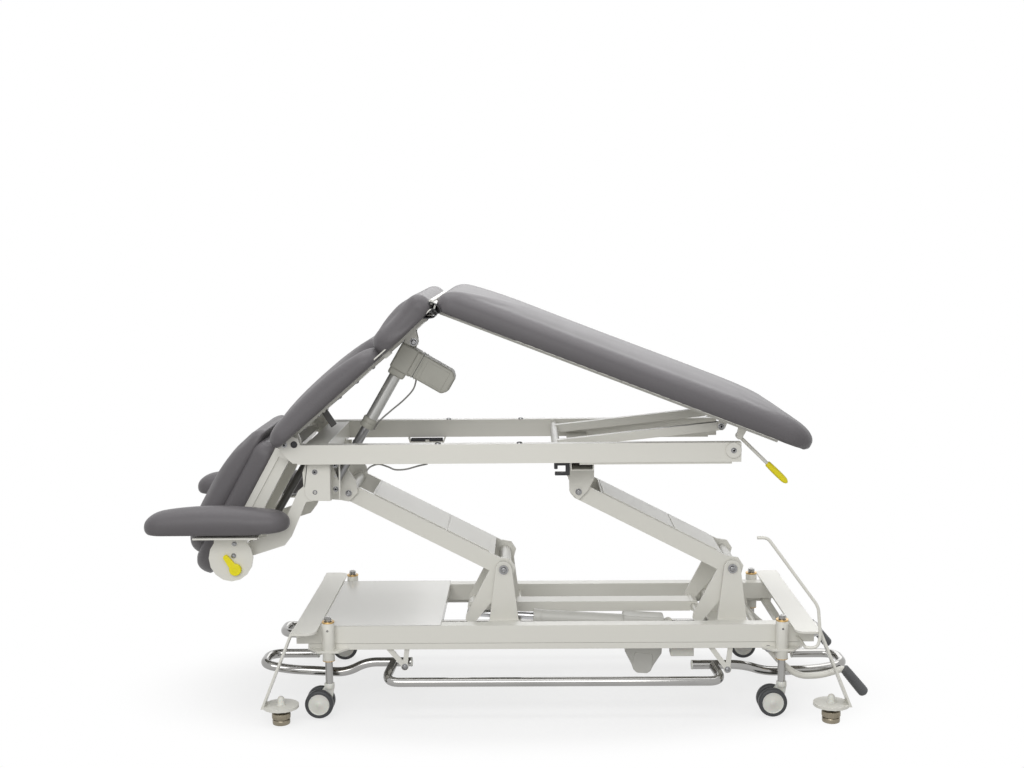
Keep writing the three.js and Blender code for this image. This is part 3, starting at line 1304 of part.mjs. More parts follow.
// Gas spring between the head bracket and the head frame
const gasFoot = new THREE.Vector3(-gasFootAlong, 0, gasFootDrop)
  .applyAxisAngle(new THREE.Vector3(0, 1, 0), -headTilt);
const gasFootX = headPivotX + gasFoot.x;
const gasFootZ = torsoPivotZ + gasFoot.z;
const gasReach = Math.hypot(gasTopX - gasFootX, gasTopZ - gasFootZ);
const gasTurn = Math.PI - Math.atan2(gasTopZ - gasFootZ, gasTopX - gasFootX);
const gasGroup = tilted(gasTopX, gasTopZ, gasTurn, couch, gasY);
const gasRadius = 11;
const gasRodRadius = 5;
const gasEyeRadius = 9;
const gasEyeHalf = gasCheekGap - actuatorCheek - seatGap;
const gasTubeStart = 14;
const gasTubeEnd = 196;
const gasBoreStart = 30;
const gasRodStart = 80;
piece('gas_spring_cylinder', weld([
  barAlong(0, 0, gasRadius, gasTubeStart, gasTubeEnd, roundSides),
  barAcross(0, 0, gasEyeRadius, -gasEyeHalf, gasEyeHalf),
  block(0, gasTubeStart + cutOverrun, -gasEyeHalf / 2, gasEyeHalf / 2, -gasEyeRadius / 2, gasEyeRadius / 2),
], [
  barAlong(0, 0, gasRodRadius + turnGap, gasBoreStart, gasTubeEnd + cutOverrun),
  barAcross(0, 0, gasPinRadius + turnGap, -gasEyeHalf - cutOverrun, gasEyeHalf + cutOverrun),
]), blackPlastic, gasGroup);
piece('gas_spring_rod', weld([
  barAlong(0, 0, gasRodRadius, gasRodStart, gasReach),
  barAcross(gasReach, 0, gasEyeRadius, -gasEyeHalf + stubGap, gasEyeHalf - stubGap),
]), rodGrey, gasGroup);

// Armrests: cranked arm, side plate with a shelf, cushion and lock lever
const restArmY = armrestCheekY + plateThickness + seatGap;
const restPlateY = 266;
const restSpacerRadius = 15;
const restPivotX = -893;
const restPivotZ = 466;
const restArmOutline = [
  [-660, 612], [-695, 608], [-737, 511], [-757, 485], [-848, 456], [-890, 448], [-900, 482], [-859, 493],
  [-807, 512], [-747, 572], [-716, 640], [-690, 662], [-664, 660],
];
const restArmHeadRadius = 25;
const restArmEndRadius = 19;
const restPlateRx = 62;
const restPlateRz = 66;
const restPlateX = -901;
const restPlateZ = 459;
const restShelf = [-990, -812];
const restCushionBase = 531;
const restShelfTop = restCushionBase - seatGap;
const restShelfThick = 5;
const restShelfReach = 76;
const restPostHalf = 46;
const restCushionX = [-1134, -729];
const restCushionY = [256, 356];
const restCushionThick = 62;
const restCushionCrown = 12;
const restCorner = 58;
const restPinRadius = 7;
const lockX = -888;
const lockZ = 428;
const lockHubRadius = 17;
const lockHubHeight = 12;
const lockEndX = -913;
const lockEndZ = 463;
const lockEndRadius = 7;
const lockArmHeight = 8;
const lockPinRadius = 5;
const lockPinReach = 8;
for (const side of [-1, 1]) {
  const name = sideNames[side];
  const armY = side < 0 ? -restArmY - plateThickness : restArmY;
  const plateY = side < 0 ? -restPlateY - plateThickness : restPlateY;
  const outline = restArmOutline;
  piece(`armrest_arm_${name}`, weld([
    slabAcross(outline, armY, armY + plateThickness),
    barAcross(armrestPivotX, armrestPivotZ, restArmHeadRadius, armY, armY + plateThickness, roundSides),
    barAcross(restPivotX, restPivotZ, restArmEndRadius, armY, armY + plateThickness, roundSides),
    barAcross(restPivotX, restPivotZ, restSpacerRadius, side < 0 ? -restPlateY + seatGap : restArmY,
      side < 0 ? -restArmY : restPlateY - seatGap),
    barAcross(restPivotX, restPivotZ, restPinRadius, side < 0 ? -restPlateY - plateThickness : restArmY,
      side < 0 ? -restArmY : restPlateY + plateThickness),
  ], [barAcross(armrestPivotX, armrestPivotZ, armrestPinRadius + turnGap, armY - cutOverrun,
    armY + plateThickness + cutOverrun)]), paint);

  const rim = [];
  for (let i = 0; i < roundSides; i += 1) {
    const turn = (2 * Math.PI * i) / roundSides;
    rim.push([restPlateX + restPlateRx * Math.cos(turn), restPlateZ + restPlateRz * Math.sin(turn)]);
  }
  const shelfY0 = side < 0 ? -restPlateY - restShelfReach : restPlateY;
  const lockPinY = side * (restPlateY + plateThickness);
  const lockPinEnd = side * (restPlateY + plateThickness + lockPinReach);
  piece(`armrest_plate_${name}`, weld([
    slabAcross(rim, plateY, plateY + plateThickness),
    block(restPlateX - restPostHalf, restPlateX + restPostHalf, plateY, plateY + plateThickness, restPlateZ,
      restShelfTop),
    block(restShelf[0], restShelf[1], shelfY0, shelfY0 + restShelfReach, restShelfTop - restShelfThick,
      restShelfTop),
    barAcross(lockX, lockZ, lockPinRadius, Math.min(lockPinY, lockPinEnd), Math.max(lockPinY, lockPinEnd)),
  ], [barAcross(restPivotX, restPivotZ, restPinRadius + turnGap, plateY - cutOverrun,
    plateY + plateThickness + cutOverrun)]), paint);

  const cushionY0 = side < 0 ? -restCushionY[1] : restCushionY[0];
  piece(`armrest_cushion_${name}`, pad(restCushionX[0], restCushionX[1], cushionY0,
    cushionY0 + restCushionY[1] - restCushionY[0], restCushionBase, restCushionThick, restCushionCrown,
    [restCorner, restCorner, restCorner, restCorner]), leatherette);

  const lockY0 = restPlateY + plateThickness + seatGap;
  const hubY = side < 0 ? -lockY0 - lockHubHeight : lockY0;
  const armLockY = side < 0 ? -lockY0 - lockArmHeight : lockY0;
  piece(`armrest_lock_lever_${name}`, weld([
    barAcross(lockX, lockZ, lockHubRadius, hubY, hubY + lockHubHeight, roundSides),
    slabAcross(linkOutline(lockX, lockZ, lockHubRadius / 2, lockEndX, lockEndZ, lockEndRadius), armLockY,
      armLockY + lockArmHeight),
  ], [barAcross(lockX, lockZ, lockPinRadius + turnGap, Math.min(lockPinY, lockPinEnd) - turnGap,
    Math.max(lockPinY, lockPinEnd) + turnGap)]), yellowPlastic);
}

// Held cables: one clipped along the torso actuator, one looped under the near rail
const cableRadius = 3;
const cableSides = 6;
const cableSteps = 18;
const actuatorCablePoints = [
  [96, 0, 58], [120, 0, 66], [160, 0, 56], [205, 0, 38], [244, 0, 24.8], [276, 0, 23.6],
];
const actuatorCableStart = torsoMotorEnd + stubGap;
actuatorCablePoints[0][0] = actuatorCableStart;
function heldCable(points) {
  const places = points.map(([x, y, z]) => new THREE.Vector3(x, y, z));
  const path = new THREE.CatmullRomCurve3(places);
  const ring = [];
  for (let i = 0; i < cableSides; i += 1) {
    const turn = (2 * Math.PI * i) / cableSides;
    ring.push([cableRadius * Math.cos(turn), cableRadius * Math.sin(turn)]);
  }
  return new THREE.ExtrudeGeometry(outlineOf(ring), { steps: cableSteps, extrudePath: path });
}
piece('actuator_cable', heldCable(actuatorCablePoints), blackPlastic, torsoActuator);
const frameCableY = -250;
const frameCablePoints = [
  [-520, 700], [-508, 711], [-486, 717.6], [-460, 710], [-440, 702], [-410, 703], [-376, 712], [-350, 717.6],
].map(([x, z]) => [x, frameCableY, z]);
piece('frame_cable', heldCable(frameCablePoints), blackPlastic);

// Origin under the middle of the couch, on the floor
couch.updateMatrixWorld(true);
const extent = new THREE.Box3().setFromObject(couch, true);
couch.position.x = -(extent.min.x + extent.max.x) / 2;
couch.position.y = -(extent.min.y + extent.max.y) / 2;

export default couch;
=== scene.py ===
# Physiotherapy treatment table with an off-white steel frame, grey leatherette cushions,
# chromed foot bars and retractable twin-wheel casters, folded to a ridge.
import json
import math

import bmesh
import bpy
from mathutils import Matrix, Vector


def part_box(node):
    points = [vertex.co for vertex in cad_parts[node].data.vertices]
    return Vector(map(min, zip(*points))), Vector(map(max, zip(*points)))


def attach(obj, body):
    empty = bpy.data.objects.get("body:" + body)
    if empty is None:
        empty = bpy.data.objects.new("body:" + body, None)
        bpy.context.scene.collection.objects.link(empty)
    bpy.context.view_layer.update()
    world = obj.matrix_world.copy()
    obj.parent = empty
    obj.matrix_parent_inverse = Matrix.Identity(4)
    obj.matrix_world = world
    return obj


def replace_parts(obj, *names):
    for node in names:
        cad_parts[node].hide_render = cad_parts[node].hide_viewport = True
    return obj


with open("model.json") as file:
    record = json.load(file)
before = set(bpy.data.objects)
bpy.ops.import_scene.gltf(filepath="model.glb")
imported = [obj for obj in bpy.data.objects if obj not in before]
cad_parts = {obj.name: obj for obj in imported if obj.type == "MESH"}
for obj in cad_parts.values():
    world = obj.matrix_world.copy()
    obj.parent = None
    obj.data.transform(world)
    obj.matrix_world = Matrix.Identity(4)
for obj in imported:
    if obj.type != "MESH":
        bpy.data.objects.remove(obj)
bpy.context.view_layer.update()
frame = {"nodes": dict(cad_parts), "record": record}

# Viewpoint: a standing photographer in front of the near long side, a little above
# the cushions and looking slightly down. Places along the table are in millimetres
# from the middle of the four caster columns, as in the drawings of the frame.
MM = 0.001
stand_low, stand_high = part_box("head_lift_stand")
MIDDLE_X = (stand_low[0] + stand_high[0]) / 2 + 144 * MM


def at(x, y, z):
    return Vector((x * MM + MIDDLE_X, y * MM, z * MM))


GROUND = Matrix.Translation(at(0, 0, 0))
YAW, PITCH, ROLL = math.radians(-0.82), math.radians(6.162), math.radians(0.514)
EYE = at(-60, -3972, 1341)
SENSOR_WIDTH = 36
FOCAL_PIXELS, IMAGE_WIDTH = 1357.3, 1024
ahead = Vector((math.sin(YAW) * math.cos(PITCH), math.cos(YAW) * math.cos(PITCH), -math.sin(PITCH)))
level = Vector((math.cos(YAW), -math.sin(YAW), 0))
below = ahead.cross(level)
rightward = level * math.cos(ROLL) + below * math.sin(ROLL)
downward = below * math.cos(ROLL) - level * math.sin(ROLL)
camera_data = bpy.data.cameras.new("viewpoint")
camera_data.sensor_width = SENSOR_WIDTH
camera_data.lens = FOCAL_PIXELS * SENSOR_WIDTH / IMAGE_WIDTH
camera = bpy.data.objects.new("viewpoint", camera_data)
turn = Matrix((rightward, -downward, -ahead)).transposed().to_4x4()
camera.matrix_world = Matrix.Translation(EYE) @ turn
bpy.context.scene.collection.objects.link(camera)
bpy.context.scene.camera = camera

# Studio: a white room that lights softly from all round, one wide overhead softbox and
# a weaker one behind the camera. The floor is pale and keeps the table's shadow.
FLOOR_TONE = (0.84, 0.84, 0.84, 1)
FLOOR_BOUNCE = (0.42, 0.415, 0.40, 1)
WHITE = (1, 1, 1, 1)
FLOOR_WHITE = 0.72
ROOM_LIGHT = 0.56
SOFTBOXES = {
    "overhead": ((0.1, 0.2, 3.6), (0, 0, 0), (4.2, 3.0), 80),
    "front_fill": ((-0.8, -4.6, 2.6), (64, 0, -8), (3.4, 2.4), 94),
    "rear_fill": ((0.9, 4.2, 2.4), (-62, 0, -10), (3.4, 2.0), 26),
}
scene = bpy.context.scene
scene.view_settings.view_transform = "Standard"


def add_node(tree, kind, values=None, **settings):
    """A shader node with its settings and the values of its inputs."""
    node = tree.nodes.new("ShaderNode" + kind)
    for name, value in settings.items():
        setattr(node, name, value)
    for name, value in (values or {}).items():
        node.inputs[name].default_value = value
    return node


def wire(tree, *lines):
    """Links nodes, each line being (node, output, next node, input)."""
    for source, output, target, entry in lines:
        tree.links.new(source.outputs[output], target.inputs[entry])


def seen_rays(tree):
    """One for rays from the camera, off gloss or through glass, and nought for light."""
    path = add_node(tree, "LightPath")
    first, both = (add_node(tree, "Math", operation="MAXIMUM") for _ in range(2))
    wire(tree, (path, "Is Camera Ray", first, 0), (path, "Is Glossy Ray", first, 1),
         (first, 0, both, 0), (path, "Is Transmission Ray", both, 1))
    return both


world = bpy.data.worlds.new("white_room")
scene.world = world
world.use_nodes = True
room = world.node_tree
room.nodes.clear()
room_out = add_node(room, "OutputWorld")
room_mix = add_node(room, "MixShader")
room_fill = add_node(room, "Background", {"Color": WHITE, "Strength": ROOM_LIGHT})
room_white = add_node(room, "Background", {"Color": WHITE})
wire(room, (seen_rays(room), 0, room_mix, 0), (room_fill, 0, room_mix, 1), (room_white, 0, room_mix, 2),
     (room_mix, 0, room_out, 0))
for name, (place, tilt, size, watts) in SOFTBOXES.items():
    lamp = bpy.data.lights.new(name, "AREA")
    lamp.shape = "RECTANGLE"
    lamp.size, lamp.size_y = size
    lamp.energy = watts
    softbox = bpy.data.objects.new(name, lamp)
    softbox.location = place
    softbox.rotation_euler = [math.radians(a) for a in tilt]
    scene.collection.objects.link(softbox)

FLOOR_HALF = 14
floor_mesh = bpy.data.meshes.new("studio_floor")
floor_mesh.from_pydata(
    [(-FLOOR_HALF, -FLOOR_HALF, 0), (FLOOR_HALF, -FLOOR_HALF, 0), (FLOOR_HALF, FLOOR_HALF, 0),
     (-FLOOR_HALF, FLOOR_HALF, 0)], [], [(0, 1, 2, 3)])
floor = bpy.data.objects.new("studio_floor", floor_mesh)
scene.collection.objects.link(floor)
floor_paint = bpy.data.materials.new("studio_floor")
floor_paint.use_nodes = True
paint = floor_paint.node_tree
floor_shader = paint.nodes["Principled BSDF"]
floor_shader.inputs["Base Color"].default_value = FLOOR_TONE
floor_shader.inputs["Roughness"].default_value = 0.6
floor_shader.inputs["Specular IOR Level"].default_value = 0.2
# Far from the table the floor fades into the white room. To the camera and to
# reflections it is mostly white, and it throws little light back up under the frame.
FADE_NEAR, FADE_FAR = 0.62, 0.95
FADE_SHAPE = (0.76, 1.55, 1)
fade_place = add_node(paint, "NewGeometry")
fade_scale = add_node(paint, "VectorMath", {1: FADE_SHAPE}, operation="MULTIPLY")
fade_length = add_node(paint, "VectorMath", operation="LENGTH")
fade = add_node(paint, "MapRange", {"From Min": FADE_NEAR, "From Max": FADE_FAR, "To Min": FLOOR_WHITE},
                interpolation_type="SMOOTHSTEP")
floor_glow = add_node(paint, "Emission", {"Strength": 1})
floor_dull = add_node(paint, "BsdfDiffuse", {"Color": FLOOR_BOUNCE})
floor_seen, floor_mix = (add_node(paint, "MixShader") for _ in range(2))
wire(paint, (fade_place, "Position", fade_scale, 0), (fade_scale, 0, fade_length, 0),
     (fade_length, "Value", fade, "Value"), (fade, 0, floor_seen, 0), (floor_shader, 0, floor_seen, 1),
     (floor_glow, 0, floor_seen, 2), (seen_rays(paint), 0, floor_mix, 0), (floor_dull, 0, floor_mix, 1),
     (floor_seen, 0, floor_mix, 2), (floor_mix, 0, paint.nodes["Material Output"], "Surface"))
floor_mesh.materials.append(floor_paint)

# Base rails: two rectangular steel tubes, 50 by 40, welded up with their hangers and
# powder coated off-white.


def effect(name, sockets_in, sockets_out):
    """A node group with named inputs and outputs, and its two end nodes."""
    group = bpy.data.node_groups.new(name, "ShaderNodeTree")
    for label, kind, value in sockets_in:
        socket = group.interface.new_socket(label, in_out="INPUT", socket_type=kind)
        socket.default_value = value
    for label, kind in sockets_out:
        group.interface.new_socket(label, in_out="OUTPUT", socket_type=kind)
    return group, group.nodes.new("NodeGroupInput"), group.nodes.new("NodeGroupOutput")


# Colour that drifts a little over a surface, gloss that varies, and a fine skin.
skin, skin_in, skin_out = effect(
    "drifting_skin",
    [("Tone A", "NodeSocketColor", WHITE), ("Tone B", "NodeSocketColor", (0, 0, 0, 1)),
     ("Drift Scale", "NodeSocketFloat", 4.0), ("Skin Scale", "NodeSocketFloat", 900.0),
     ("Smooth", "NodeSocketFloat", 0.3), ("Rough", "NodeSocketFloat", 0.4)],
    [("Color", "NodeSocketColor"), ("Roughness", "NodeSocketFloat"), ("Height", "NodeSocketFloat")])
FIRST_COLOUR, SECOND_COLOUR, MIXED_COLOUR = 6, 7, 2
skin_place = add_node(skin, "TexCoord")
skin_drift = add_node(skin, "TexNoise", {"Detail": 4})
skin_peel = add_node(skin, "TexNoise", {"Detail": 2})
skin_scuff = add_node(skin, "TexNoise", {"Scale": 14, "Detail": 3})
skin_mix = add_node(skin, "Mix", data_type="RGBA")
skin_gloss = add_node(skin, "MapRange")
wire(skin, *((skin_place, "Object", texture, "Vector") for texture in (skin_drift, skin_peel, skin_scuff)),
     (skin_in, "Drift Scale", skin_drift, "Scale"), (skin_in, "Skin Scale", skin_peel, "Scale"),
     (skin_drift, "Fac", skin_mix, "Factor"), (skin_in, "Tone A", skin_mix, FIRST_COLOUR),
     (skin_in, "Tone B", skin_mix, SECOND_COLOUR), (skin_scuff, "Fac", skin_gloss, "Value"),
     (skin_in, "Smooth", skin_gloss, "To Min"), (skin_in, "Rough", skin_gloss, "To Max"),
     (skin_mix, MIXED_COLOUR, skin_out, "Color"), (skin_gloss, 0, skin_out, "Roughness"),
     (skin_peel, "Fac", skin_out, "Height"))


def finish_with(name, group, values, shader_values, bump, bump_distance):
    """A material whose colour, gloss and relief come from one effect."""
    material = bpy.data.materials.new(name)
    material.use_nodes = True
    tree = material.node_tree
    shader = tree.nodes["Principled BSDF"]
    for label, value in shader_values.items():
        shader.inputs[label].default_value = value
    surface = tree.nodes.new("ShaderNodeGroup")
    surface.node_tree = group
    for label, value in values.items():
        surface.inputs[label].default_value = value
    relief = add_node(tree, "Bump", {"Strength": bump, "Distance": bump_distance})
    wire(tree, (surface, "Color", shader, "Base Color"), (surface, "Roughness", shader, "Roughness"),
         (surface, "Height", relief, "Height"), (relief, "Normal", shader, "Normal"))
    return material


def skinned(name, tones, scales, gloss, bump, bump_distance, **shader_values):
    """A finish of two drifting tones: scales of drift and skin, gloss from smooth to rough."""
    return finish_with(
        name, skin,
        {"Tone A": (*tones[0], 1), "Tone B": (*tones[1], 1), "Drift Scale": scales[0],
         "Skin Scale": scales[1], "Smooth": gloss[0], "Rough": gloss[1]},
        {label.replace("_", " "): value for label, value in shader_values.items()}, bump, bump_distance)


powder_coat = skinned("powder_coat", ((0.755, 0.745, 0.69), (0.725, 0.715, 0.66)), (2.6, 420), (0.27, 0.36),
                      0.05, 0.00006, Coat_Weight=0.12, Coat_Roughness=0.2)


def settle(piece, body, material):
    piece.data.materials.clear()
    piece.data.materials.append(material)
    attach(piece, body)
    return piece


SHARP = math.radians(38)


def shade(mesh, sharp=SHARP):
    """Smooth shading, broken at edges sharper than the angle."""
    work = bmesh.new()
    work.from_mesh(mesh)
    for face in work.faces:
        face.smooth = True
    for edge in work.edges:
        edge.smooth = edge.is_manifold and edge.calc_face_angle(math.pi) < sharp
    work.to_mesh(mesh)
    work.free()


def baked(piece):
    """Applies the piece's modifiers to its mesh."""
    bpy.context.view_layer.update()
    ready = piece.evaluated_get(bpy.context.evaluated_depsgraph_get())
    mesh = bpy.data.meshes.new_from_object(ready)
    piece.modifiers.clear()
    piece.data = mesh
    return piece


def eased(piece, width, segments=2):
    """Rounds the piece's sharp edges, as coating and grinding leave them."""
    bevel = piece.modifiers.new("eased_edges", "BEVEL")
    bevel.width = width
    bevel.segments = segments
    bevel.limit_method = "ANGLE"
    bevel.angle_limit = math.radians(32)
    bevel.use_clamp_overlap = True
    bevel.miter_outer = "MITER_ARC"
    weigh = piece.modifiers.new("flat_faces", "WEIGHTED_NORMAL")
    weigh.keep_sharp = True
    weigh.weight = 80
    shade(piece.data)
    return baked(piece)


def body_of(node):
    return next(name for name, nodes in frame["record"]["behaviour"]["bodies"].items() if node in nodes)


def worked(node, material, width=0.0012, name=None):
    """A copy of a frame part with eased edges, which stands for that part."""
    source = frame["nodes"][node]
    mesh = source.data.copy()
    work = bmesh.new()
    work.from_mesh(mesh)
    bmesh.ops.remove_doubles(work, verts=work.verts, dist=0.00002)
    bmesh.ops.dissolve_limit(work, angle_limit=math.radians(1.5), verts=work.verts, edges=work.edges)
    bmesh.ops.recalc_face_normals(work, faces=work.faces)
    work.to_mesh(mesh)
    work.free()
    piece = bpy.data.objects.new(name or node + "_shell", mesh)
    scene.collection.objects.link(piece)
    eased(piece, width)
    settle(piece, body_of(node), material)
    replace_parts(piece, node)
    return piece


for side in ("near", "far"):
    worked(f"base_rail_{side}", powder_coat, 0.0018)


def piece_of(name, work, body, material, sharp=SHARP):
    """A piece from a finished bmesh."""
    mesh = bpy.data.meshes.new(name)
    bmesh.ops.recalc_face_normals(work, faces=work.faces)
    work.to_mesh(mesh)
    work.free()
    shade(mesh, sharp)
    piece = bpy.data.objects.new(name, mesh)
    scene.collection.objects.link(piece)
    return settle(piece, body, material)


def facing(place, axis):
    """A frame at a place whose Z looks along the axis."""
    return Matrix.Translation(place) @ Vector(axis).to_track_quat("Z", "Y").to_matrix().to_4x4()


def join_rings(work, rings):
    """Adds the faces between rings of points, where a ring of one point is a tip."""
    for low, high in zip(rings, rings[1:]):
        sides = max(len(low), len(high))
        for i in range(sides):
            k = (i + 1) % sides
            corners = [low[i % len(low)], low[k % len(low)], high[k % len(high)], high[i % len(high)]]
            work.faces.new(list(dict.fromkeys(corners)))


def on(place, x, y, z):
    return place @ (Vector((x, y, z)) * MM)


def turn_form(work, profile, place, sides=36):
    """Adds a turned form: (radius, height) pairs in millimetres up the local Z."""
    rings = []
    for radius, height in profile:
        count = 1 if radius == 0 else sides
        rings.append([work.verts.new(on(place, radius * math.cos(math.tau * i / sides),
                                        radius * math.sin(math.tau * i / sides), height))
                      for i in range(count)])
    join_rings(work, rings)


def bolt_form(work, place, axis, size=9, washer=11.5, height=6):
    """Adds a washer and a domed button head with a hexagon socket."""
    seat = facing(place, axis)
    turn_form(work, [(0, 0), (washer, 0), (washer, 1.2), (size * 0.9, 1.5), (0, 1.5)], seat, 28)
    socket = size * 0.52
    rows = [(0, 1, 1), (size, 1, 0), (size, 1.8, 0), (size * 0.93, height * 0.62, 0),
            (size * 0.78, height * 0.88, 0), (socket * 1.15, height, 0), (socket, height * 0.97, 1),
            (socket * 0.97, height * 0.3, 1), (0, height * 0.3, 1)]
    sides = 24
    rings = []
    for radius, rise, hexed in rows:
        ring = []
        for i in range(sides if radius else 1):
            turn = math.tau * i / sides
            pull = math.cos(math.pi / 6) / math.cos(turn % (math.pi / 3) - math.pi / 6) if hexed else 1
            out = radius * pull
            ring.append(work.verts.new(on(seat, out * math.cos(turn), out * math.sin(turn), rise)))
        rings.append(ring)
    join_rings(work, rings)


zinc_plate = skinned("zinc_plate", ((0.36, 0.36, 0.365), (0.24, 0.24, 0.245)), (90, 1600), (0.16, 0.3),
                     0.15, 0.00004, Metallic=1.0)


def bolted(name, work, body):
    return piece_of(name, work, body, zinc_plate)


HANGERS = ((-424, 135), (488, 123))
for side, sign in (("near", -1), ("far", 1)):
    pins = bmesh.new()
    for x, z in HANGERS:
        bolt_form(pins, at(x, sign * 241, z), (0, sign, 0), 6.5, 9, 4.5)
    bolt_form(pins, at(600, sign * 250, 186), (0, sign, 0), 7, 10, 5)
    bolted(f"hanger_bolts_{side}", pins, "base")

# End plates: bent sheet laid over the rail ends, with a leg splayed down to a foot
# disc at each corner, laser cut and folded, then coated with the rails.
for end in ("head", "foot"):
    worked(f"{end}_end_plate", powder_coat, 0.0022)

# Levelling feet: a knurled metal foot in two steps screwed on a threaded stud, with a
# lock nut under the disc and a white plastic cap over the stud's end.
cream_plastic = skinned("cream_plastic", ((0.76, 0.75, 0.70), (0.70, 0.69, 0.64)), (14, 1400), (0.26, 0.4),
                        0.12, 0.00006, Subsurface_Weight=0.05)
foot_bronze = skinned("foot_bronze", ((0.34, 0.30, 0.23), (0.20, 0.175, 0.13)), (60, 900), (0.2, 0.36),
                      0.3, 0.00005, Metallic=0.9)


def turned(name, profile, place, sides, body, material):
    """A piece turned from one profile."""
    work = bmesh.new()
    turn_form(work, profile, place, sides)
    return piece_of(name, work, body, material)


FOOT_X, FOOT_Y, FOOT_RIBS, RIB_DEPTH, THREAD_PITCH = 763, 322, 30, 0.05, 1.3
FOOT_PROFILE = [(0, 0), (21.5, 0), (24, 1.6), (24.6, 4), (24.6, 12.4), (23.6, 14), (21.4, 14.6),
                (21.4, 16.4), (25, 17.2), (25.8, 18.6), (25.8, 30), (24.6, 31.6), (21, 32.4), (19, 34),
                (0, 34)]
CAP_PROFILE = [(0, 55.1), (13, 55.1), (13.4, 56), (13.2, 57.4), (10.6, 58.2), (10.2, 59.5), (10, 68),
               (9.2, 73), (7, 76.6), (3.8, 78.6), (0, 79.2)]
thread = [(0, 32), (7.8, 32)]
for step in range(10):
    thread += [(7.8, 34 + step * THREAD_PITCH), (6.9, 34.65 + step * THREAD_PITCH)]
thread += [(7.8, 47), (7.8, 70), (0, 70)]
for end, x in (("head", -FOOT_X), ("foot", FOOT_X)):
    for side, y in (("near", -FOOT_Y), ("far", FOOT_Y)):
        body = f"levelling_foot_{end}_{side}"
        seat = Matrix.Translation(at(x, y, 0))
        pad = bmesh.new()
        turn_form(pad, FOOT_PROFILE, seat, FOOT_RIBS * 4)
        for vert in pad.verts:
            place = vert.co - seat.translation
            if 17 * MM < place.z < 31 * MM and place.xy.length > 24.8 * MM:
                rib = 0.5 + 0.5 * math.cos(FOOT_RIBS * math.atan2(place.y, place.x))
                vert.co.xy = seat.translation.xy + place.xy * (1 - RIB_DEPTH * (1 - rib))
        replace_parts(piece_of(f"{body}_pad", pad, body, foot_bronze), body)
        stud = bmesh.new()
        turn_form(stud, thread, seat, 24)
        turn_form(stud, [(0, 40), (12.5, 40), (13, 41), (13, 46), (12.5, 46.8), (0, 46.8)], seat, 6)
        bolted(f"{body}_stud", stud, body)
        turned(f"{body}_cap", CAP_PROFILE, seat, 36, body, cream_plastic)

# Base cover: one sheet folded down at its foot-end edge, coated gloss and screwed on
# the rails over the control box.
gloss_coat = skinned("gloss_coat", ((0.74, 0.735, 0.705), (0.69, 0.685, 0.655)), (2.0, 320), (0.24, 0.28),
                     0.03, 0.00005, Coat_Weight=0.2, Coat_Roughness=0.14)
worked("base_cover", gloss_coat, 0.0009)

# Lift stands: folded trapezoid cheeks on side boxes between the rails, tied by a
# plate, with a hardened pivot pin bolted through their tops.
STANDS, ARM_PIVOT_Z = (("head", -144), ("foot", 516)), 387
for end, x in STANDS:
    worked(f"{end}_lift_stand", powder_coat, 0.0016)
    bolts = bmesh.new()
    for side in (-1, 1):
        bolt_form(bolts, at(x, side * 134, ARM_PIVOT_Z), (0, side, 0), 9, 13.5, 7)
        for across in (-26, 26):
            bolt_form(bolts, at(x + across, side * 170, 236), (0, 0, 1), 6, 8.5, 4)
    bolted(f"{end}_stand_bolts", bolts, "base")

# Caster carriage: side strips and cross bars under the rails with a welded sleeve at
# each corner. A brass ring closes each end of a sleeve round its chromed stem.
worked("caster_carriage", powder_coat, 0.0014)
brass = skinned("brass", ((0.62, 0.42, 0.18), (0.50, 0.32, 0.12)), (80, 1500), (0.22, 0.4),
                0.1, 0.00004, Metallic=1.0)
black_oxide = skinned("black_oxide", ((0.035, 0.035, 0.037), (0.02, 0.02, 0.022)), (40, 1300), (0.3, 0.5),
                      0.12, 0.00004, Metallic=0.3)
CASTER_X, CASTER_Y = 635, 267
CASTERS = [(end, side, x, y) for end, x in (("head", -CASTER_X), ("foot", CASTER_X))
           for side, y in (("near", -CASTER_Y), ("far", CASTER_Y))]
for end, side, x, y in CASTERS:
    seat = Matrix.Translation(at(x, y, 0))
    turned(f"sleeve_{end}_{side}",
           [(12.2, 164), (16.4, 164), (17.2, 165.4), (17.2, 270.6), (16.4, 272), (12.2, 272)],
           seat, 48, "caster_carriage", powder_coat)
    rings = bmesh.new()
    turn_form(rings, [(11.6, 271.5), (17.4, 271.5), (17.8, 272.2), (17.8, 275), (17.2, 275.8), (11.6, 275.8)],
              seat, 40)
    turn_form(rings, [(11.6, 162.6), (17.3, 162.6), (17.3, 164.6), (11.6, 164.6)], seat, 40)
    piece_of(f"brass_rings_{end}_{side}", rings, "caster_carriage", brass)
    out = math.copysign(1, y)
    turned(f"set_screw_{end}_{side}",
           [(0, -1), (2.8, -1), (2.8, 0.8), (2.2, 1.1), (1.3, 1.1), (1.3, -0.2), (0, -0.2)],
           facing(at(x, y + out * 16.8, 252), (0, out, 0)), 20, "caster_carriage", black_oxide)

# Casters: a chromed stem with a grooved cap, pressed into a moulded cream housing
# that carries two wheels with dark polyurethane tyres and cream discs.
chrome = skinned("chrome", ((0.40, 0.395, 0.385), (0.31, 0.305, 0.295)), (9, 1800), (0.07, 0.16),
                 0.03, 0.00004, Metallic=1.0)
tyre_rubber = skinned("tyre_rubber", ((0.055, 0.057, 0.06), (0.038, 0.04, 0.042)), (22, 800), (0.38, 0.58),
                      0.25, 0.00006, Specular_IOR_Level=0.45)


def plate_form(work, place, outline, y0, y1):
    """Adds a flat plate across Y from an outline of (x, z) in millimetres."""
    near, far = ([work.verts.new(on(place, x, y, z)) for x, z in outline] for y in (y0, y1))
    work.faces.new(near)
    work.faces.new(list(reversed(far)))
    join_rings(work, [near, far])


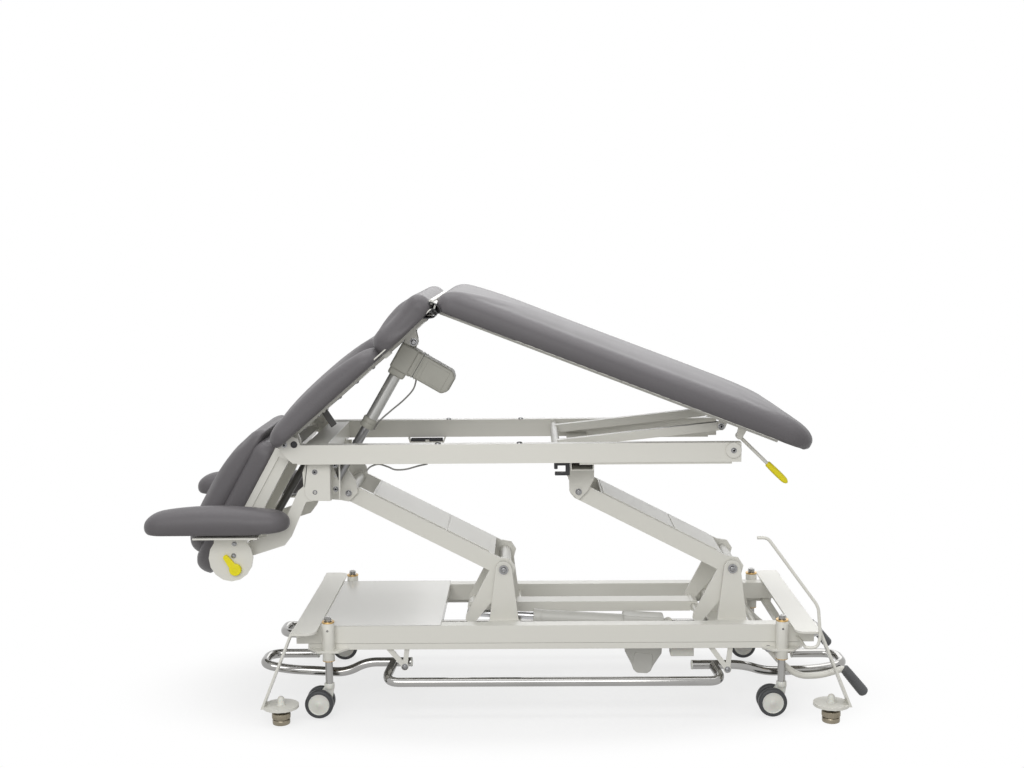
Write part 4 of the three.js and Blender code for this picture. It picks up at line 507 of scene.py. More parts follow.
CASTER_TRAIL, AXLE_HEIGHT = 27, 43
HOUSING_ROUND, HOUSING_HALF = 33.5, 5.3
for end, side, x, y in CASTERS:
    body = f"caster_stem_{end}_{side}"
    seat = Matrix.Translation(at(x, y, 0))
    stem = bmesh.new()
    turn_form(stem, [(0, 92), (10.8, 92), (10.8, 277), (9.4, 278), (9.4, 280), (10.8, 281), (10.8, 283.2),
                     (9.6, 284), (9.6, 285), (10.4, 285.6), (10, 287.4), (8.6, 288), (4, 288), (3.4, 286.4),
                     (0, 286.4)], seat, 40)
    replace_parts(piece_of(f"{body}_chrome", stem, body, chrome), body)
    axle_x, axle_z = x - CASTER_TRAIL, AXLE_HEIGHT
    housing = bmesh.new()
    outline = []
    for step in range(25):
        turn = math.radians(-28 + step * 236 / 24)
        outline.append((axle_x + HOUSING_ROUND * math.cos(turn), axle_z + HOUSING_ROUND * math.sin(turn)))
    outline += [(x - 13.6, 88), (x - 13.6, 97.5), (x + 13.6, 97.5), (x + 13.6, 84), (x + 10, 66)]
    outline = [p for p in outline if not (p[0] > x - 14 and p[1] > 60 and p[1] < 88 and p[0] < x + 9)]
    plate_form(housing, GROUND, outline, y - HOUSING_HALF, y + HOUSING_HALF)
    turn_form(housing, [(0, 84), (13.6, 84), (14, 85), (14, 96), (12.6, 98), (0, 98)], seat, 32)
    piece_of(f"{body}_housing", housing, body, cream_plastic)
    wheel_body = f"caster_wheel_{end}_{side}"
    tyres, discs = bmesh.new(), bmesh.new()
    for out in (-1, 1):
        hub = facing(at(axle_x, y, axle_z), (0, out, 0))
        turn_form(tyres, [(29.5, 8), (37, 8), (39, 9), (40, 12), (40, 23), (39, 26.5), (36.5, 28.4),
                          (32, 28.6), (29.5, 28)], hub, 64)
        turn_form(discs, [(6, 7.4), (29.6, 8.6), (29.6, 28), (28.6, 28.8), (27.4, 28.2), (26.6, 27.4),
                          (8, 27.4), (7, 28), (5.6, 28.6), (0, 28.8)], hub, 56)
    turn_form(discs, [(0, -8), (5.2, -8), (5.2, 8), (0, 8)], facing(at(axle_x, y, axle_z), (0, 1, 0)), 24)
    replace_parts(piece_of(f"{wheel_body}_tyres", tyres, wheel_body, tyre_rubber), wheel_body)
    piece_of(f"{wheel_body}_discs", discs, wheel_body, cream_plastic)

# Caster pedal: one steel bar bent at each end, welded to a cross shaft under the rails
# and coated. A grey rubber grip is pushed on each end for the foot.
dark_rubber = skinned("dark_rubber", ((0.115, 0.118, 0.122), (0.085, 0.087, 0.09)), (25, 900), (0.42, 0.6),
                      0.3, 0.00006, Specular_IOR_Level=0.4)


def bent_line(corners, bend, arc_steps=10, straight=0.03):
    """Points along a line through the corners, each rounded over the bend length."""
    corners = [Vector(c) for c in corners]
    points = [corners[0]]
    for before, corner, after in zip(corners, corners[1:], corners[2:]):
        reach = min(bend, (corner - before).length * 0.48, (after - corner).length * 0.48)
        enter = corner + (before - corner).normalized() * reach
        leave = corner + (after - corner).normalized() * reach
        points += [enter.lerp(corner, t / arc_steps).lerp(corner.lerp(leave, t / arc_steps), t / arc_steps)
                   for t in range(arc_steps + 1)]
    points.append(corners[-1])
    line = [points[0]]
    for point in points[1:]:
        gap = (point - line[-1]).length
        if gap < 1e-5:
            continue
        count = max(1, int(gap / straight))
        line += [line[-1].lerp(point, k / count) for k in range(1, count + 1)]
    return line


def tube_form(work, line, radius, sides=20, radii=None):
    """Adds a round tube that follows the line, with one radius or one for each point."""
    ahead_of = [(line[min(i + 1, len(line) - 1)] - line[max(i - 1, 0)]).normalized()
                for i in range(len(line))]
    across = ahead_of[0].orthogonal().normalized()
    rings = []
    for i, (point, ahead_here) in enumerate(zip(line, ahead_of)):
        across = (across - ahead_here * across.dot(ahead_here)).normalized()
        other = ahead_here.cross(across)
        size = radii[i] if radii else radius
        rings.append([work.verts.new(point + (across * math.cos(math.tau * k / sides)
                                              + other * math.sin(math.tau * k / sides)) * size)
                      for k in range(sides)])
    join_rings(work, rings)
    work.faces.new(list(reversed(rings[0])))
    work.faces.new(rings[-1])


PEDAL_LINE = ((600, 186), (645, 134), (690, 101), (752, 102), (816, 122), (828, 110))
PEDAL_Y = 233
pedal = bmesh.new()
tube_form(pedal, [at(600, PEDAL_Y * (i / 12 - 1), 186) for i in range(25)], 9 * MM)
for side in (-1, 1):
    tube_form(pedal, bent_line([at(x, side * PEDAL_Y, z) for x, z in PEDAL_LINE], 26 * MM), 9 * MM)
    turn_form(pedal, [(0, -3), (11.6, -3), (12.6, -1.5), (12.6, 1.5), (11.6, 3), (0, 3)],
              facing(at(600, side * 226, 186), (0, 1, 0)), 32)
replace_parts(piece_of("caster_pedal_bar", pedal, "caster_pedal", powder_coat), "caster_pedal")
for side, y in (("near", -PEDAL_Y), ("far", PEDAL_Y)):
    grip = bmesh.new()
    start, stop = at(814, y, 126), at(879, y, 47)
    line, radii = [], []
    for step in range(61):
        share = step / 60
        reach = min(share / 0.07, (1 - share) / 0.12, 1)
        swell = 13.2 + 2.2 * share + (0.55 if step % 4 < 2 and 0.16 < share < 0.86 else 0)
        line.append(start.lerp(stop, share))
        radii.append(MM * swell * math.sqrt(max(1 - (1 - reach) ** 2, 0.02)))
    tube_form(grip, line, 0, 28, radii)
    piece_of(f"pedal_grip_{side}", grip, "caster_pedal", dark_rubber)

# Cable holder: a slim steel rod bent up beside the foot end, where the hand control
# hangs. It is screwed under the near base rail and coated off-white.
holder = bmesh.new()
HOLDER_LINE = ((549, -352, 526), (577, -352, 526), (717, -352, 334), (724, -352, 250), (716, -352, 219),
               (684, -352, 219), (684, -250, 219))
tube_form(holder, bent_line([at(*corner) for corner in HOLDER_LINE], 16 * MM), 4.4 * MM, 16)
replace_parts(piece_of("cable_holder_rod", holder, "base", powder_coat), "cable_holder_bar")

# Foot control bars: chromed steel tube bent to a loop at each end, with a side bar
# welded on outside. Plastic plugs close the cut ends.
HEAD_LOOP = ((-408, 138), (-536, 138), (-594, 108), (-760, 118), (-832, 132))
FOOT_LOOP = ((392, 126), (535, 126), (604, 105), (752, 112), (822, 126))
INNER_Y, MIDDLE_Y, OUTER_Y, BAR_BEND, BAR_RADIUS = 100, 205, 290, 46, 13
for side, sign in (("near", -1), ("far", 1)):
    body = f"foot_bar_{side}"
    bar = bmesh.new()
    ends = []
    for loop, back in ((HEAD_LOOP, (-690, 132)), (FOOT_LOOP, (695, 126))):
        corners = [at(x, sign * MIDDLE_Y, z) for x, z in loop]
        corners += [at(loop[-1][0], sign * INNER_Y, loop[-1][1]), at(back[0], sign * INNER_Y, back[1])]
        line = bent_line(corners, BAR_BEND * MM, 12)
        tube_form(bar, line, BAR_RADIUS * MM, 28)
        ends += [(line[0], line[0] - line[1]), (line[-1], line[-1] - line[-2])]
    tube_form(bar, bent_line([at(-458, sign * MIDDLE_Y, 138), at(-478, sign * OUTER_Y, 106),
                              at(470, sign * OUTER_Y, 106), at(450, sign * MIDDLE_Y, 126)],
                             BAR_BEND * MM, 12), BAR_RADIUS * MM, 28)
    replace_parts(piece_of(f"{body}_tube", bar, body, chrome), body)
    plugs = bmesh.new()
    for place, out in ends:
        turn_form(plugs, [(0, -1), (13.3, -1), (13.3, 1.2), (12.4, 2.6), (9, 3.4), (0, 3.8)],
                  facing(place, out), 28)
    piece_of(f"{body}_plugs", plugs, body, cream_plastic)

# Lift arms: a folded box between two laser-cut cheeks with a bell crank below, welded
# and coated. A cover plate closes the lower end of the box, its joint left visible.


def block_form(work, place, low, high):
    """Adds a rectangular block between two corners in millimetres."""
    corners = [work.verts.new(on(place, x, y, z)) for z in (low[2], high[2]) for x, y in (
        (low[0], low[1]), (high[0], low[1]), (high[0], high[1]), (low[0], high[1]))]
    for quad in ((0, 3, 2, 1), (4, 5, 6, 7), (0, 1, 5, 4), (1, 2, 6, 5), (2, 3, 7, 6), (3, 0, 4, 7)):
        work.faces.new([corners[i] for i in quad])


ARM_TURN = math.atan2(228, 443)
for end, x in STANDS:
    worked(f"{end}_lift_arm", powder_coat, 0.0018)
    frame_of_arm = Matrix.Translation(at(x, 0, ARM_PIVOT_Z)) @ Matrix.Rotation(ARM_TURN, 4, "Y")
    cover = bmesh.new()
    for x0, x1 in ((-196, -60), (-430, -200)):
        block_form(cover, frame_of_arm, (x0, -108, 23.9), (x1, 108, 26.2))
    plate = piece_of(f"{end}_arm_cover", cover, f"{end}_lift_arm", powder_coat)
    settle(eased(plate, 0.0008), f"{end}_lift_arm", powder_coat)

# Link bar: a square steel tube between the two bell cranks, turning on bushes at its
# eyes and coated like the arms.
worked("link_bar", powder_coat, 0.0014)

# Lift actuator: a die-cast gear head with a hanging motor, an extruded outer tube and
# a chromed spindle rod, bought in as one unit and pinned at both ends.
actuator_shell = skinned(
    "actuator_shell", ((0.40, 0.395, 0.35), (0.35, 0.345, 0.305)), (18, 850), (0.34, 0.48),
    0.3, 0.00006, Specular_IOR_Level=0.5)
pale_shell = skinned("pale_shell", ((0.66, 0.655, 0.62), (0.61, 0.605, 0.57)), (18, 900), (0.32, 0.46),
                     0.25, 0.00006, Specular_IOR_Level=0.45)
ground_steel = skinned("ground_steel", ((0.56, 0.56, 0.57), (0.47, 0.47, 0.48)), (12, 1500), (0.16, 0.28),
                       0.06, 0.00004, Metallic=1.0)


def along_x(place):
    """A frame whose Z runs along the local X of another."""
    return place @ Matrix.Rotation(math.pi / 2, 4, "Y")


def cast(name, work, body, material, width, node=None):
    """A piece from a finished bmesh, with its edges rounded."""
    piece = piece_of(name, work, body, material)
    eased(piece, width, 3)
    settle(piece, body, material)
    if node:
        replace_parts(piece, node)


lift_frame = Matrix.Translation(at(340, -60, 205)) @ Matrix.Rotation(
    math.pi + math.atan2(241 - 205, 340 + 240), 4, "Y")
gear_head = bmesh.new()
block_form(gear_head, lift_frame, (16, -34, -24), (137, 34, 60))
block_form(gear_head, lift_frame, (1, -17.4, -11), (20, 17.4, 11))
cast("lift_gear_head", gear_head, "lift_actuator_body", pale_shell, 0.006,
     "lift_actuator_body")
motor = bmesh.new()
flanks = [(18, 40), (126, 40), (126, 84), (104, 122), (98, 137), (88, 146), (56, 146), (46, 137), (40, 122),
          (18, 84)]
plate_form(motor, lift_frame, flanks, -31, 31)
cast("lift_motor_shell", motor, "lift_actuator_body", pale_shell, 0.005)
motor_end = bmesh.new()
for y0, y1 in ((-35, -29), (29, 35)):
    plate_form(motor_end, lift_frame, [(44, 90), (50, 84), (94, 84), (100, 90), (101, 126), (96, 137),
                                       (86, 144.6), (58, 144.6), (48, 137), (43, 126)], y0, y1)
cast("lift_motor_ends", motor_end, "lift_actuator_body", pale_shell, 0.0022)
turned("lift_outer_tube",
       [(11.8, 130), (20, 130), (20, 377), (21.8, 378), (21.8, 399), (20.6, 400), (11.8, 400)],
       along_x(lift_frame), 40, "lift_actuator_body", pale_shell)
spindle = bmesh.new()
turn_form(spindle, [(0, 242), (11, 242), (11, 566), (0, 566)], along_x(lift_frame), 36)
turn_form(spindle, [(8.6, -11.6), (14, -11.6), (15, -10.4), (15, 10.4), (14, 11.6), (8.6, 11.6)],
          facing(on(lift_frame, 581.1, 0, 0), (0, 1, 0)), 36)
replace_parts(piece_of("lift_spindle", spindle, "lift_actuator_rod", ground_steel),
            "lift_actuator_rod")

# Control box: a moulded plastic box with a lid line, hung on a folded steel strip that
# is screwed under the near base rail.
box = bmesh.new()
block_form(box, GROUND, (331, -207, 151), (397, -163, 199))
block_form(box, GROUND, (334, -204, 198), (394, -166, 203))
cast("control_box", box, "base", cream_plastic, 0.0018)
box_strip = bmesh.new()
block_form(box_strip, GROUND, (338, -228, 202.6), (390, -168, 205.8))
cast("control_box_strip", box_strip, "base", powder_coat, 0.0008)

# Upper rails: 54 by 30 tube, with the section lugs welded on at the head end, a folded
# lip underneath and a round cap bolted over the stop bar at the foot end.
RAIL_FACE_Y = 270
for side, sign in (("near", -1), ("far", 1)):
    worked(f"upper_rail_{side}", powder_coat, 0.0022)
    turned(f"stop_cap_{side}", [(0, 0), (21.5, 0), (22, 1), (22, 5.6), (20.6, 7.2), (0, 7.4)],
           facing(at(495, sign * RAIL_FACE_Y, 754), (0, sign, 0)), 48,
           "upper_frame", powder_coat)
    bolts = bmesh.new()
    bolt_form(bolts, at(495, sign * 277.2, 754), (0, sign, 0), 6.5, 8, 5)
    for x in (-320, -94):
        turn_form(bolts, [(0, 0), (8.4, 0), (8, 2.2), (5.6, 4), (2.6, 4.7), (0, 4.8)],
                  Matrix.Translation(at(x, sign * 255, 775)), 28)
    bolt_form(bolts, at(-744, sign * RAIL_FACE_Y, 777), (0, sign, 0), 6, 8.2, 5)
    bolted(f"rail_bolts_{side}", bolts, "upper_frame")
    turned(f"pivot_plug_{side}", [(0, 0), (9.4, 0), (9.4, 1.6), (8.6, 2.6), (6, 3), (5, 2.2), (0, 2.2)],
           facing(at(-717, sign * RAIL_FACE_Y, 777), (0, sign, 0)), 36,
           "upper_frame", black_oxide)

# Head and foot brackets: cross tubes between the rails with laser-cut cheeks for the
# lift arms, the armrests, the torso spindle and the gas spring, all welded and bolted.
worked("head_bracket", powder_coat, 0.0016)
worked("foot_bracket", powder_coat, 0.0018)
channel = bmesh.new()
for side in (-1, 1):
    near_y, far_y = sorted((side * 220.2, side * 233))
    skin_y = sorted((side * 229, side * 233))
    plate_form(channel, GROUND, [(-699, 650), (-696, 627), (-684, 612), (-626, 611), (-622.5, 614),
                                       (-622.5, 716), (-690, 716)], *skin_y)
    plate_form(channel, GROUND, [(-626, 612), (-622.5, 612), (-622.5, 716), (-626, 716)], near_y, far_y)
    plate_form(channel, GROUND, [(-699, 650), (-695, 650), (-686, 716), (-690, 716)], near_y, far_y)
    plate_form(channel, GROUND, [(-600.5, 614), (-597, 619), (-597, 716), (-600.5, 716)], near_y, far_y)
cast("bracket_channels", channel, "upper_frame", powder_coat, 0.0012)
bolts = bmesh.new()
for side in (-1, 1):
    for x, z, y in ((-612, 711, 220.2), (-611, 643, 220.2), (-667.4, 694, 233)):
        bolt_form(bolts, at(x, side * y, z), (0, side, 0), 6.6, 8, 5)
    turn_form(bolts, [(0, 0), (3, 0), (3, 0.5), (0, 0.5)],
              facing(at(-611, side * 220.1, 679), (0, side, 0)), 20)
    for x in (-587, 73):
        bolt_form(bolts, at(x, side * 136.1, 615), (0, side, 0), 7.6, 9.4, 5.6)
bolted("bracket_bolts", bolts, "upper_frame")
hook = bmesh.new()
for low, high in (((2, 706), (46, 715)), ((34, 684), (46, 708)), ((2, 696), (12, 709)),
                  ((4, 678), (46, 687))):
    block_form(hook, GROUND, (low[0], -226, low[1]), (high[0], -206, high[1]))
cast("cable_hook", hook, "upper_frame", black_oxide, 0.002)
tray = bmesh.new()
plate_form(tray, GROUND, [(-446, 722), (-441, 706), (-334, 706), (-328, 722), (-333, 722), (-338, 710),
                                (-437, 710), (-441, 722)], 218, 240)
block_form(tray, GROUND, (-392, 217, 709), (-380, 221, 716))
cast("cable_tray", tray, "upper_frame", powder_coat, 0.0012)
# A black block fills the inside of the tray's U and shows dark through its open front.
dark_fill = bmesh.new()
block_form(dark_fill, GROUND, (-437, 221, 710), (-338, 238, 719.6))
cast("cable_tray_lining", dark_fill, "upper_frame", black_oxide, 0.0015)

# Torso section: a steel ladder frame under a plywood board, hinged to the leg section
# along the ridge and lifted by the actuator through a welded clevis.
worked("torso_frame", powder_coat, 0.0012)
TORSO_TILT = math.radians(41)
torso_place = Matrix.Translation(at(-717, 0, 777)) @ Matrix.Rotation(-TORSO_TILT, 4, "Y")


def axis_of(place, x, y, z):
    return place.to_3x3() @ Vector((x, y, z))


clips = bmesh.new()
for along in (40, 96, 168, 236, 300, 412, 500):
    for side in (-1, 1):
        bolt_form(clips, on(torso_place, along, side * 215, 14), axis_of(torso_place, 0, 0, -1), 4.6, 6.4, 3)
for side in (-1, 1):
    bolt_form(clips, on(torso_place, 428, -160 + side * 22, -8), (0, side, 0), 8, 11, 5.5)
bolted("torso_board_bolts", clips, "torso_section")


def ribbon_form(work, place, line, thick, y0, y1):
    """Adds a strip that follows a line of (x, z) in millimetres, across Y."""
    points = [Vector(p) for p in line]
    left, right = [], []
    for i, point in enumerate(points):
        run = (points[min(i + 1, len(points) - 1)] - points[max(i - 1, 0)]).normalized()
        side = Vector((-run.y, run.x)) * thick / 2
        left.append(point + side)
        right.append(point - side)
    columns = 12
    grid = [[work.verts.new(on(place, p.x, y0 + (y1 - y0) * k / columns, p.y)) for p in left + right[::-1]]
            for k in range(columns + 1)]
    join_rings(work, grid)
    count, half = len(grid[0]), len(left)
    for row, flip in ((grid[0], False), (grid[-1], True)):
        for i in range(half - 1):
            quad = [row[i], row[i + 1], row[count - 2 - i], row[count - 1 - i]]
            work.faces.new(quad[::-1] if flip else quad)


def rounded_line(corners, steps=5):
    """A line of (x, z) corners with each corner rounded."""
    corners = [Vector(c) for c in corners]
    line = [corners[0]]
    for before, corner, after in zip(corners, corners[1:], corners[2:]):
        enter, leave = corner.lerp(before, 0.4), corner.lerp(after, 0.4)
        line += [enter.lerp(corner, t / steps).lerp(corner.lerp(leave, t / steps), t / steps)
                 for t in range(steps + 1)]
    return line + [corners[-1]]


# Hinge flaps: at each side of the ridge the black cover material is folded into a loop
# between the two cushions and stapled under their boards.
flaps = bmesh.new()
FLAP_LINE = ((506, 25), (513, 17), (530, 5), (537, 8), (534, 18), (540, 30), (546, 20), (544, 7), (552, 3),
             (560, 14), (557, 30), (549, 46), (541, 38))
for y0, y1 in ((-330, -236), (236, 330)):
    ribbon_form(flaps, torso_place, rounded_line(FLAP_LINE), 2.6, y0, y1)
piece_of("hinge_flaps", flaps, "torso_section", black_oxide, math.radians(60))

# Torso actuator: a moulded gear head with its motor out to one side, an outer tube
# with a screwed collar, and a grey sleeve over the spindle down to the bracket.
clevis_spot = on(torso_place, 428, 0, -8)
spindle_foot = at(-628, 0, 640)
run = clevis_spot - spindle_foot
torso_lift_place = Matrix.Translation(clevis_spot + Vector((0, -160 * MM, 0))) @ Matrix.Rotation(
    math.pi - math.atan2(run.z, run.x), 4, "Y")
reach = run.length / MM
gear_case = bmesh.new()
block_form(gear_case, torso_lift_place, (14, -32, -27), (92, 32, 38))
block_form(gear_case, torso_lift_place, (84, -26, -24), (110, 26, 25))
block_form(gear_case, torso_lift_place, (1, -15.5, -12.5), (22, 15.5, 12.5))
cast("torso_gear_case", gear_case, "torso_actuator_body", actuator_shell, 0.006,
     "torso_actuator_body")
motor_case = bmesh.new()
plate_form(motor_case, torso_lift_place,
           [(16, 24), (88, 24), (88, 137), (74, 151), (30, 151), (16, 137)], -35, 35)
cast("torso_motor", motor_case, "torso_actuator_body", actuator_shell, 0.006)
label_panel = bmesh.new()
for side in (-1, 1):
    block_form(label_panel, torso_lift_place, (25, side * 34, 62), (79, side * 36.4, 132))
block_form(label_panel, torso_lift_place, (34, -24, 150), (70, 24, 152.2))
for z0, z1 in ((38, 43), (49, 53)):
    block_form(label_panel, torso_lift_place, (14.6, -36.4, z0), (89.4, 36.4, z1))
cast("torso_motor_panels", label_panel, "torso_actuator_body", actuator_shell, 0.0014)
case_joint = bmesh.new()
block_form(case_joint, torso_lift_place, (15.4, -35.6, 43.6), (88.6, 35.6, 45))
cast("torso_motor_joint", case_joint, "torso_actuator_body", dark_rubber, 0.0006)
pale_tube = skinned("pale_tube", ((0.50, 0.50, 0.485), (0.44, 0.44, 0.425)), (10, 1300), (0.28, 0.4),
                    0.08, 0.00004, Metallic=0.55)
turned("torso_outer_tube", [(13.6, 100), (17, 100), (17, 256), (13.6, 256)], along_x(torso_lift_place), 44,
       "torso_actuator_body", pale_tube)
turned("torso_tube_collar",
       [(13.6, 250), (19.4, 250), (21, 252), (21, 262), (19.6, 263), (19.6, 264.4), (21, 265.4), (21, 277.5),
        (19.6, 280), (13.6, 280)], along_x(torso_lift_place), 44,
       "torso_actuator_body", actuator_shell)
spindle = bmesh.new()
turn_form(spindle, [(0, 150), (13, 150), (13, reach - 22), (11, reach - 18), (0, reach - 12)],
          along_x(torso_lift_place), 40)
turn_form(spindle, [(9.2, -17.6), (14, -17.6), (15, -16.4), (15, 16.4), (14, 17.6), (9.2, 17.6)],
          facing(on(torso_lift_place, reach, 0, 0), (0, 1, 0)), 40)
sleeve_grey = skinned("sleeve_grey", ((0.30, 0.30, 0.305), (0.25, 0.25, 0.255)), (12, 1300), (0.26, 0.38),
                      0.08, 0.00004, Metallic=0.75)
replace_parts(piece_of("torso_spindle", spindle, "torso_actuator_rod", sleeve_grey),
            "torso_actuator_rod")

# Held cables: a thin grey lead clipped along the actuator, and one looped under the
# near rail, both in soft sheathing and held at each end.
cable_sheath = skinned("cable_sheath", ((0.24, 0.235, 0.22), (0.19, 0.185, 0.175)), (40, 1500), (0.38, 0.52),
                       0.12, 0.00004, Specular_IOR_Level=0.4)


def smooth_line(points, steps=10):
    """Points on a smooth curve through the places given."""
    places = [2 * points[0] - points[1], *points, 2 * points[-1] - points[-2]]
    line = []
    for a, b, c, d in zip(places, places[1:], places[2:], places[3:]):
        for step in range(steps):
            t = step / steps
            line.append(0.5 * (2 * b + (c - a) * t + (2 * a - 5 * b + 4 * c - d) * t * t
                               + (3 * b - a - 3 * c + d) * t ** 3))
    return line + [points[-1]]


CABLE_RADIUS = 2.3
lead = bmesh.new()
tube_form(lead, smooth_line([on(torso_lift_place, x, 0, z) for x, z in (
    (87, 54), (100, 60), (124, 63), (162, 54), (205, 38), (244, 25), (276, 22.4))]), CABLE_RADIUS * MM, 14)
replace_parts(piece_of("actuator_lead", lead, "torso_actuator_body", cable_sheath),
            "actuator_cable")
loop = bmesh.new()
tube_form(loop, smooth_line([at(x, -250, z) for x, z in (
    (-520, 700), (-508, 711), (-486, 717.6), (-460, 710), (-440, 702), (-410, 703), (-376, 712),
    (-350, 717.6))]), CABLE_RADIUS * MM, 14)
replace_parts(piece_of("rail_cable", loop, "upper_frame", cable_sheath), "frame_cable")

# Torso release lever: a small black plastic handle, moulded flat and pinned under the
# near side of the torso frame.
release_place = Matrix.Translation(on(torso_place, 113, 0, 14)) @ Matrix.Rotation(-TORSO_TILT, 4, "Y")


def link_outline(x0, z0, r0, x1, z1, r1, steps=14):
    """The outline of a straight link with a round at each end."""
    heading = math.atan2(z1 - z0, x1 - x0)
    lean = math.asin((r0 - r1) / math.hypot(x1 - x0, z1 - z0))
    start, stop = heading + math.pi / 2 - lean, heading + 1.5 * math.pi + lean
    points = [(x0 + r0 * math.cos(start + (stop - start) * i / steps),
               z0 + r0 * math.sin(start + (stop - start) * i / steps)) for i in range(steps + 1)]
    start, stop = heading - math.pi / 2 + lean, heading + math.pi / 2 - lean
    return points + [(x1 + r1 * math.cos(start + (stop - start) * i / steps),
                      z1 + r1 * math.sin(start + (stop - start) * i / steps)) for i in range(steps + 1)]


moulded_black = skinned(
    "moulded_black", ((0.075, 0.072, 0.068), (0.05, 0.048, 0.045)), (30, 1100), (0.3, 0.46),
    0.2, 0.00004, Specular_IOR_Level=0.5)
release = bmesh.new()
plate_form(release, release_place,
           [(-9, 6), (9, 6), (5, -20), (0.5, -50), (-18, -48), (-14, -20)], -199, -190)
cast("torso_release_handle", release, "torso_release_lever", moulded_black, 0.002,
     "torso_release_lever")

# Leg section: a long ladder frame under its board, hinged at the ridge, with lugs for
# the prop frame and for the release lever near the foot end.
worked("leg_frame", powder_coat, 0.0012)
LEG_TILT = math.radians(21.3)
ridge_spot = on(torso_place, 551, 0, 42)
leg_place = Matrix.Translation(ridge_spot) @ Matrix.Rotation(LEG_TILT, 4, "Y")
bolts = bmesh.new()
for along in (300, 420, 560, 700, 840, 960):
    for side in (-1, 1):
        bolt_form(bolts, on(leg_place, along, side * 300, -15.7), axis_of(leg_place, 0, 0, -1), 4.6, 7, 3.6)
for side in (-1, 1):
    bolt_form(bolts, on(leg_place, 880, side * 176.6, -47), (0, side, 0), 7, 9.5, 5)
bolted("leg_board_bolts", bolts, "leg_section")

# Leg prop frame: two square tubes from the leg section down to a roller bar that runs
# between the upper rails.
worked("leg_prop_frame", powder_coat, 0.0016)

# Leg release lever: a coated steel rod from a welded hub, with a soft yellow grip
# pushed over its end.
release_hub = on(leg_place, 931, -200, -52)
rod_end = on(leg_place, 1108, -200, -128)
lever = bmesh.new()
turn_form(lever, [(0, -8), (8, -8), (9, -7), (9, 7), (8, 8), (0, 8)], facing(release_hub, (0, 1, 0)), 32)
tube_form(lever, [release_hub.lerp(rod_end, i / 20 * 0.6) for i in range(21)], 5 * MM, 20)
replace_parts(piece_of("leg_release_rod", lever, "leg_release_lever", powder_coat),
            "leg_release_lever")
yellow_grip = skinned("yellow_grip", ((0.9, 0.79, 0.006), (0.82, 0.7, 0.004)), (16, 1000), (0.3, 0.44),
                      0.15, 0.00006, Subsurface_Weight=0.05)
grip = bmesh.new()
line, radii = [], []
for step in range(49):
    share = step / 48
    reach_in = min(share / 0.05, (1 - share) / 0.2, 1)
    line.append(release_hub.lerp(rod_end, 0.575 + 0.425 * share))
    radii.append(MM * (8.2 + 1.5 * math.sin(math.pi * share)) * math.sqrt(max(1 - (1 - reach_in) ** 2, 0.03)))
tube_form(grip, line, 0, 28, radii)
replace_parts(piece_of("leg_release_sleeve", grip, "leg_release_lever", yellow_grip),
            "leg_release_grip")

# Head section: a rectangular tube frame under the head cushion, pivoted on the rail
# lugs and held at its angle by a lockable gas spring.
worked("head_frame", powder_coat, 0.0016)
HEAD_TILT = math.radians(61)
head_place = Matrix.Translation(at(-744, 0, 777)) @ Matrix.Rotation(-HEAD_TILT, 4, "Y")
spring_top, spring_foot = at(-716, 0, 706), at(-860.256, 0, 464.135)
drop = spring_foot - spring_top
spring_turn = math.pi - math.atan2(-drop.z, -drop.x)
spring_place = Matrix.Translation(spring_top) @ Matrix.Rotation(spring_turn, 4, "Y")
cylinder = bmesh.new()
turn_form(cylinder, [(5.6, 14), (10.2, 14), (11, 15), (11, 194.4), (10.2, 196), (5.4, 196)],
          along_x(spring_place), 40)
turn_form(cylinder, [(5.6, -8.6), (8, -8.6), (9, -7.6), (9, 7.6), (8, 8.6), (5.6, 8.6)],
          facing(spring_top, (0, 1, 0)), 32)
turn_form(cylinder, [(0, 5.8), (6, 5.8), (6, 16), (0, 16)], along_x(spring_place), 24)
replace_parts(piece_of("gas_spring_tube", cylinder, "gas_spring_cylinder", moulded_black),
            "gas_spring_cylinder")
rod = bmesh.new()
spring_reach = drop.length / MM
turn_form(rod, [(0, 80), (5, 80), (5, spring_reach - 5.8), (0, spring_reach - 5.8)],
          along_x(spring_place), 24)
turn_form(rod, [(5.6, -6.6), (8, -6.6), (9, -5.6), (9, 5.6), (8, 6.6), (5.6, 6.6)],
          facing(spring_foot, (0, 1, 0)), 32)
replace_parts(piece_of("gas_spring_spindle", rod, "gas_spring_rod", ground_steel),
            "gas_spring_rod")

# Armrests: a curved steel arm on a pivot under each rail, ending in a rounded plate
# that carries the cushion on a folded shelf. A yellow lever locks it.
for side, sign in (("near", -1), ("far", 1)):
    worked(f"armrest_arm_{side}", powder_coat, 0.0018)
    worked(f"armrest_plate_{side}", powder_coat, 0.0018)
    body = f"armrest_arm_{side}"
    bolts = bmesh.new()
    bolt_form(bolts, at(-668, sign * 231, 636), (0, sign, 0), 6.8, 8.4, 5)
    bolted(f"armrest_pivot_bolt_{side}", bolts, body)
    body = f"armrest_pad_{side}"
    bolts = bmesh.new()
    for x, z in ((-890, 500), (-893, 466)):
        bolt_form(bolts, at(x, sign * 274, z), (0, sign, 0), 5.6, 7, 4.4)
    bolted(f"armrest_plate_bolts_{side}", bolts, body)
    body = f"armrest_lock_lever_{side}"
    lock = bmesh.new()
    turn_form(lock, [(5.6, 0), (16, 0), (17, 1.2), (17, 10), (15.6, 12), (5.6, 12.2)],
              facing(at(-888, sign * 274.6, 428), (0, sign, 0)), 44)
    low, high = sorted((sign * 277, sign * 286))
    plate_form(lock, GROUND, link_outline(-888, 428, 11, -913, 463, 7.4), low, high)
    cast(f"{body}_handle", lock, body, yellow_grip, 0.0022, body)

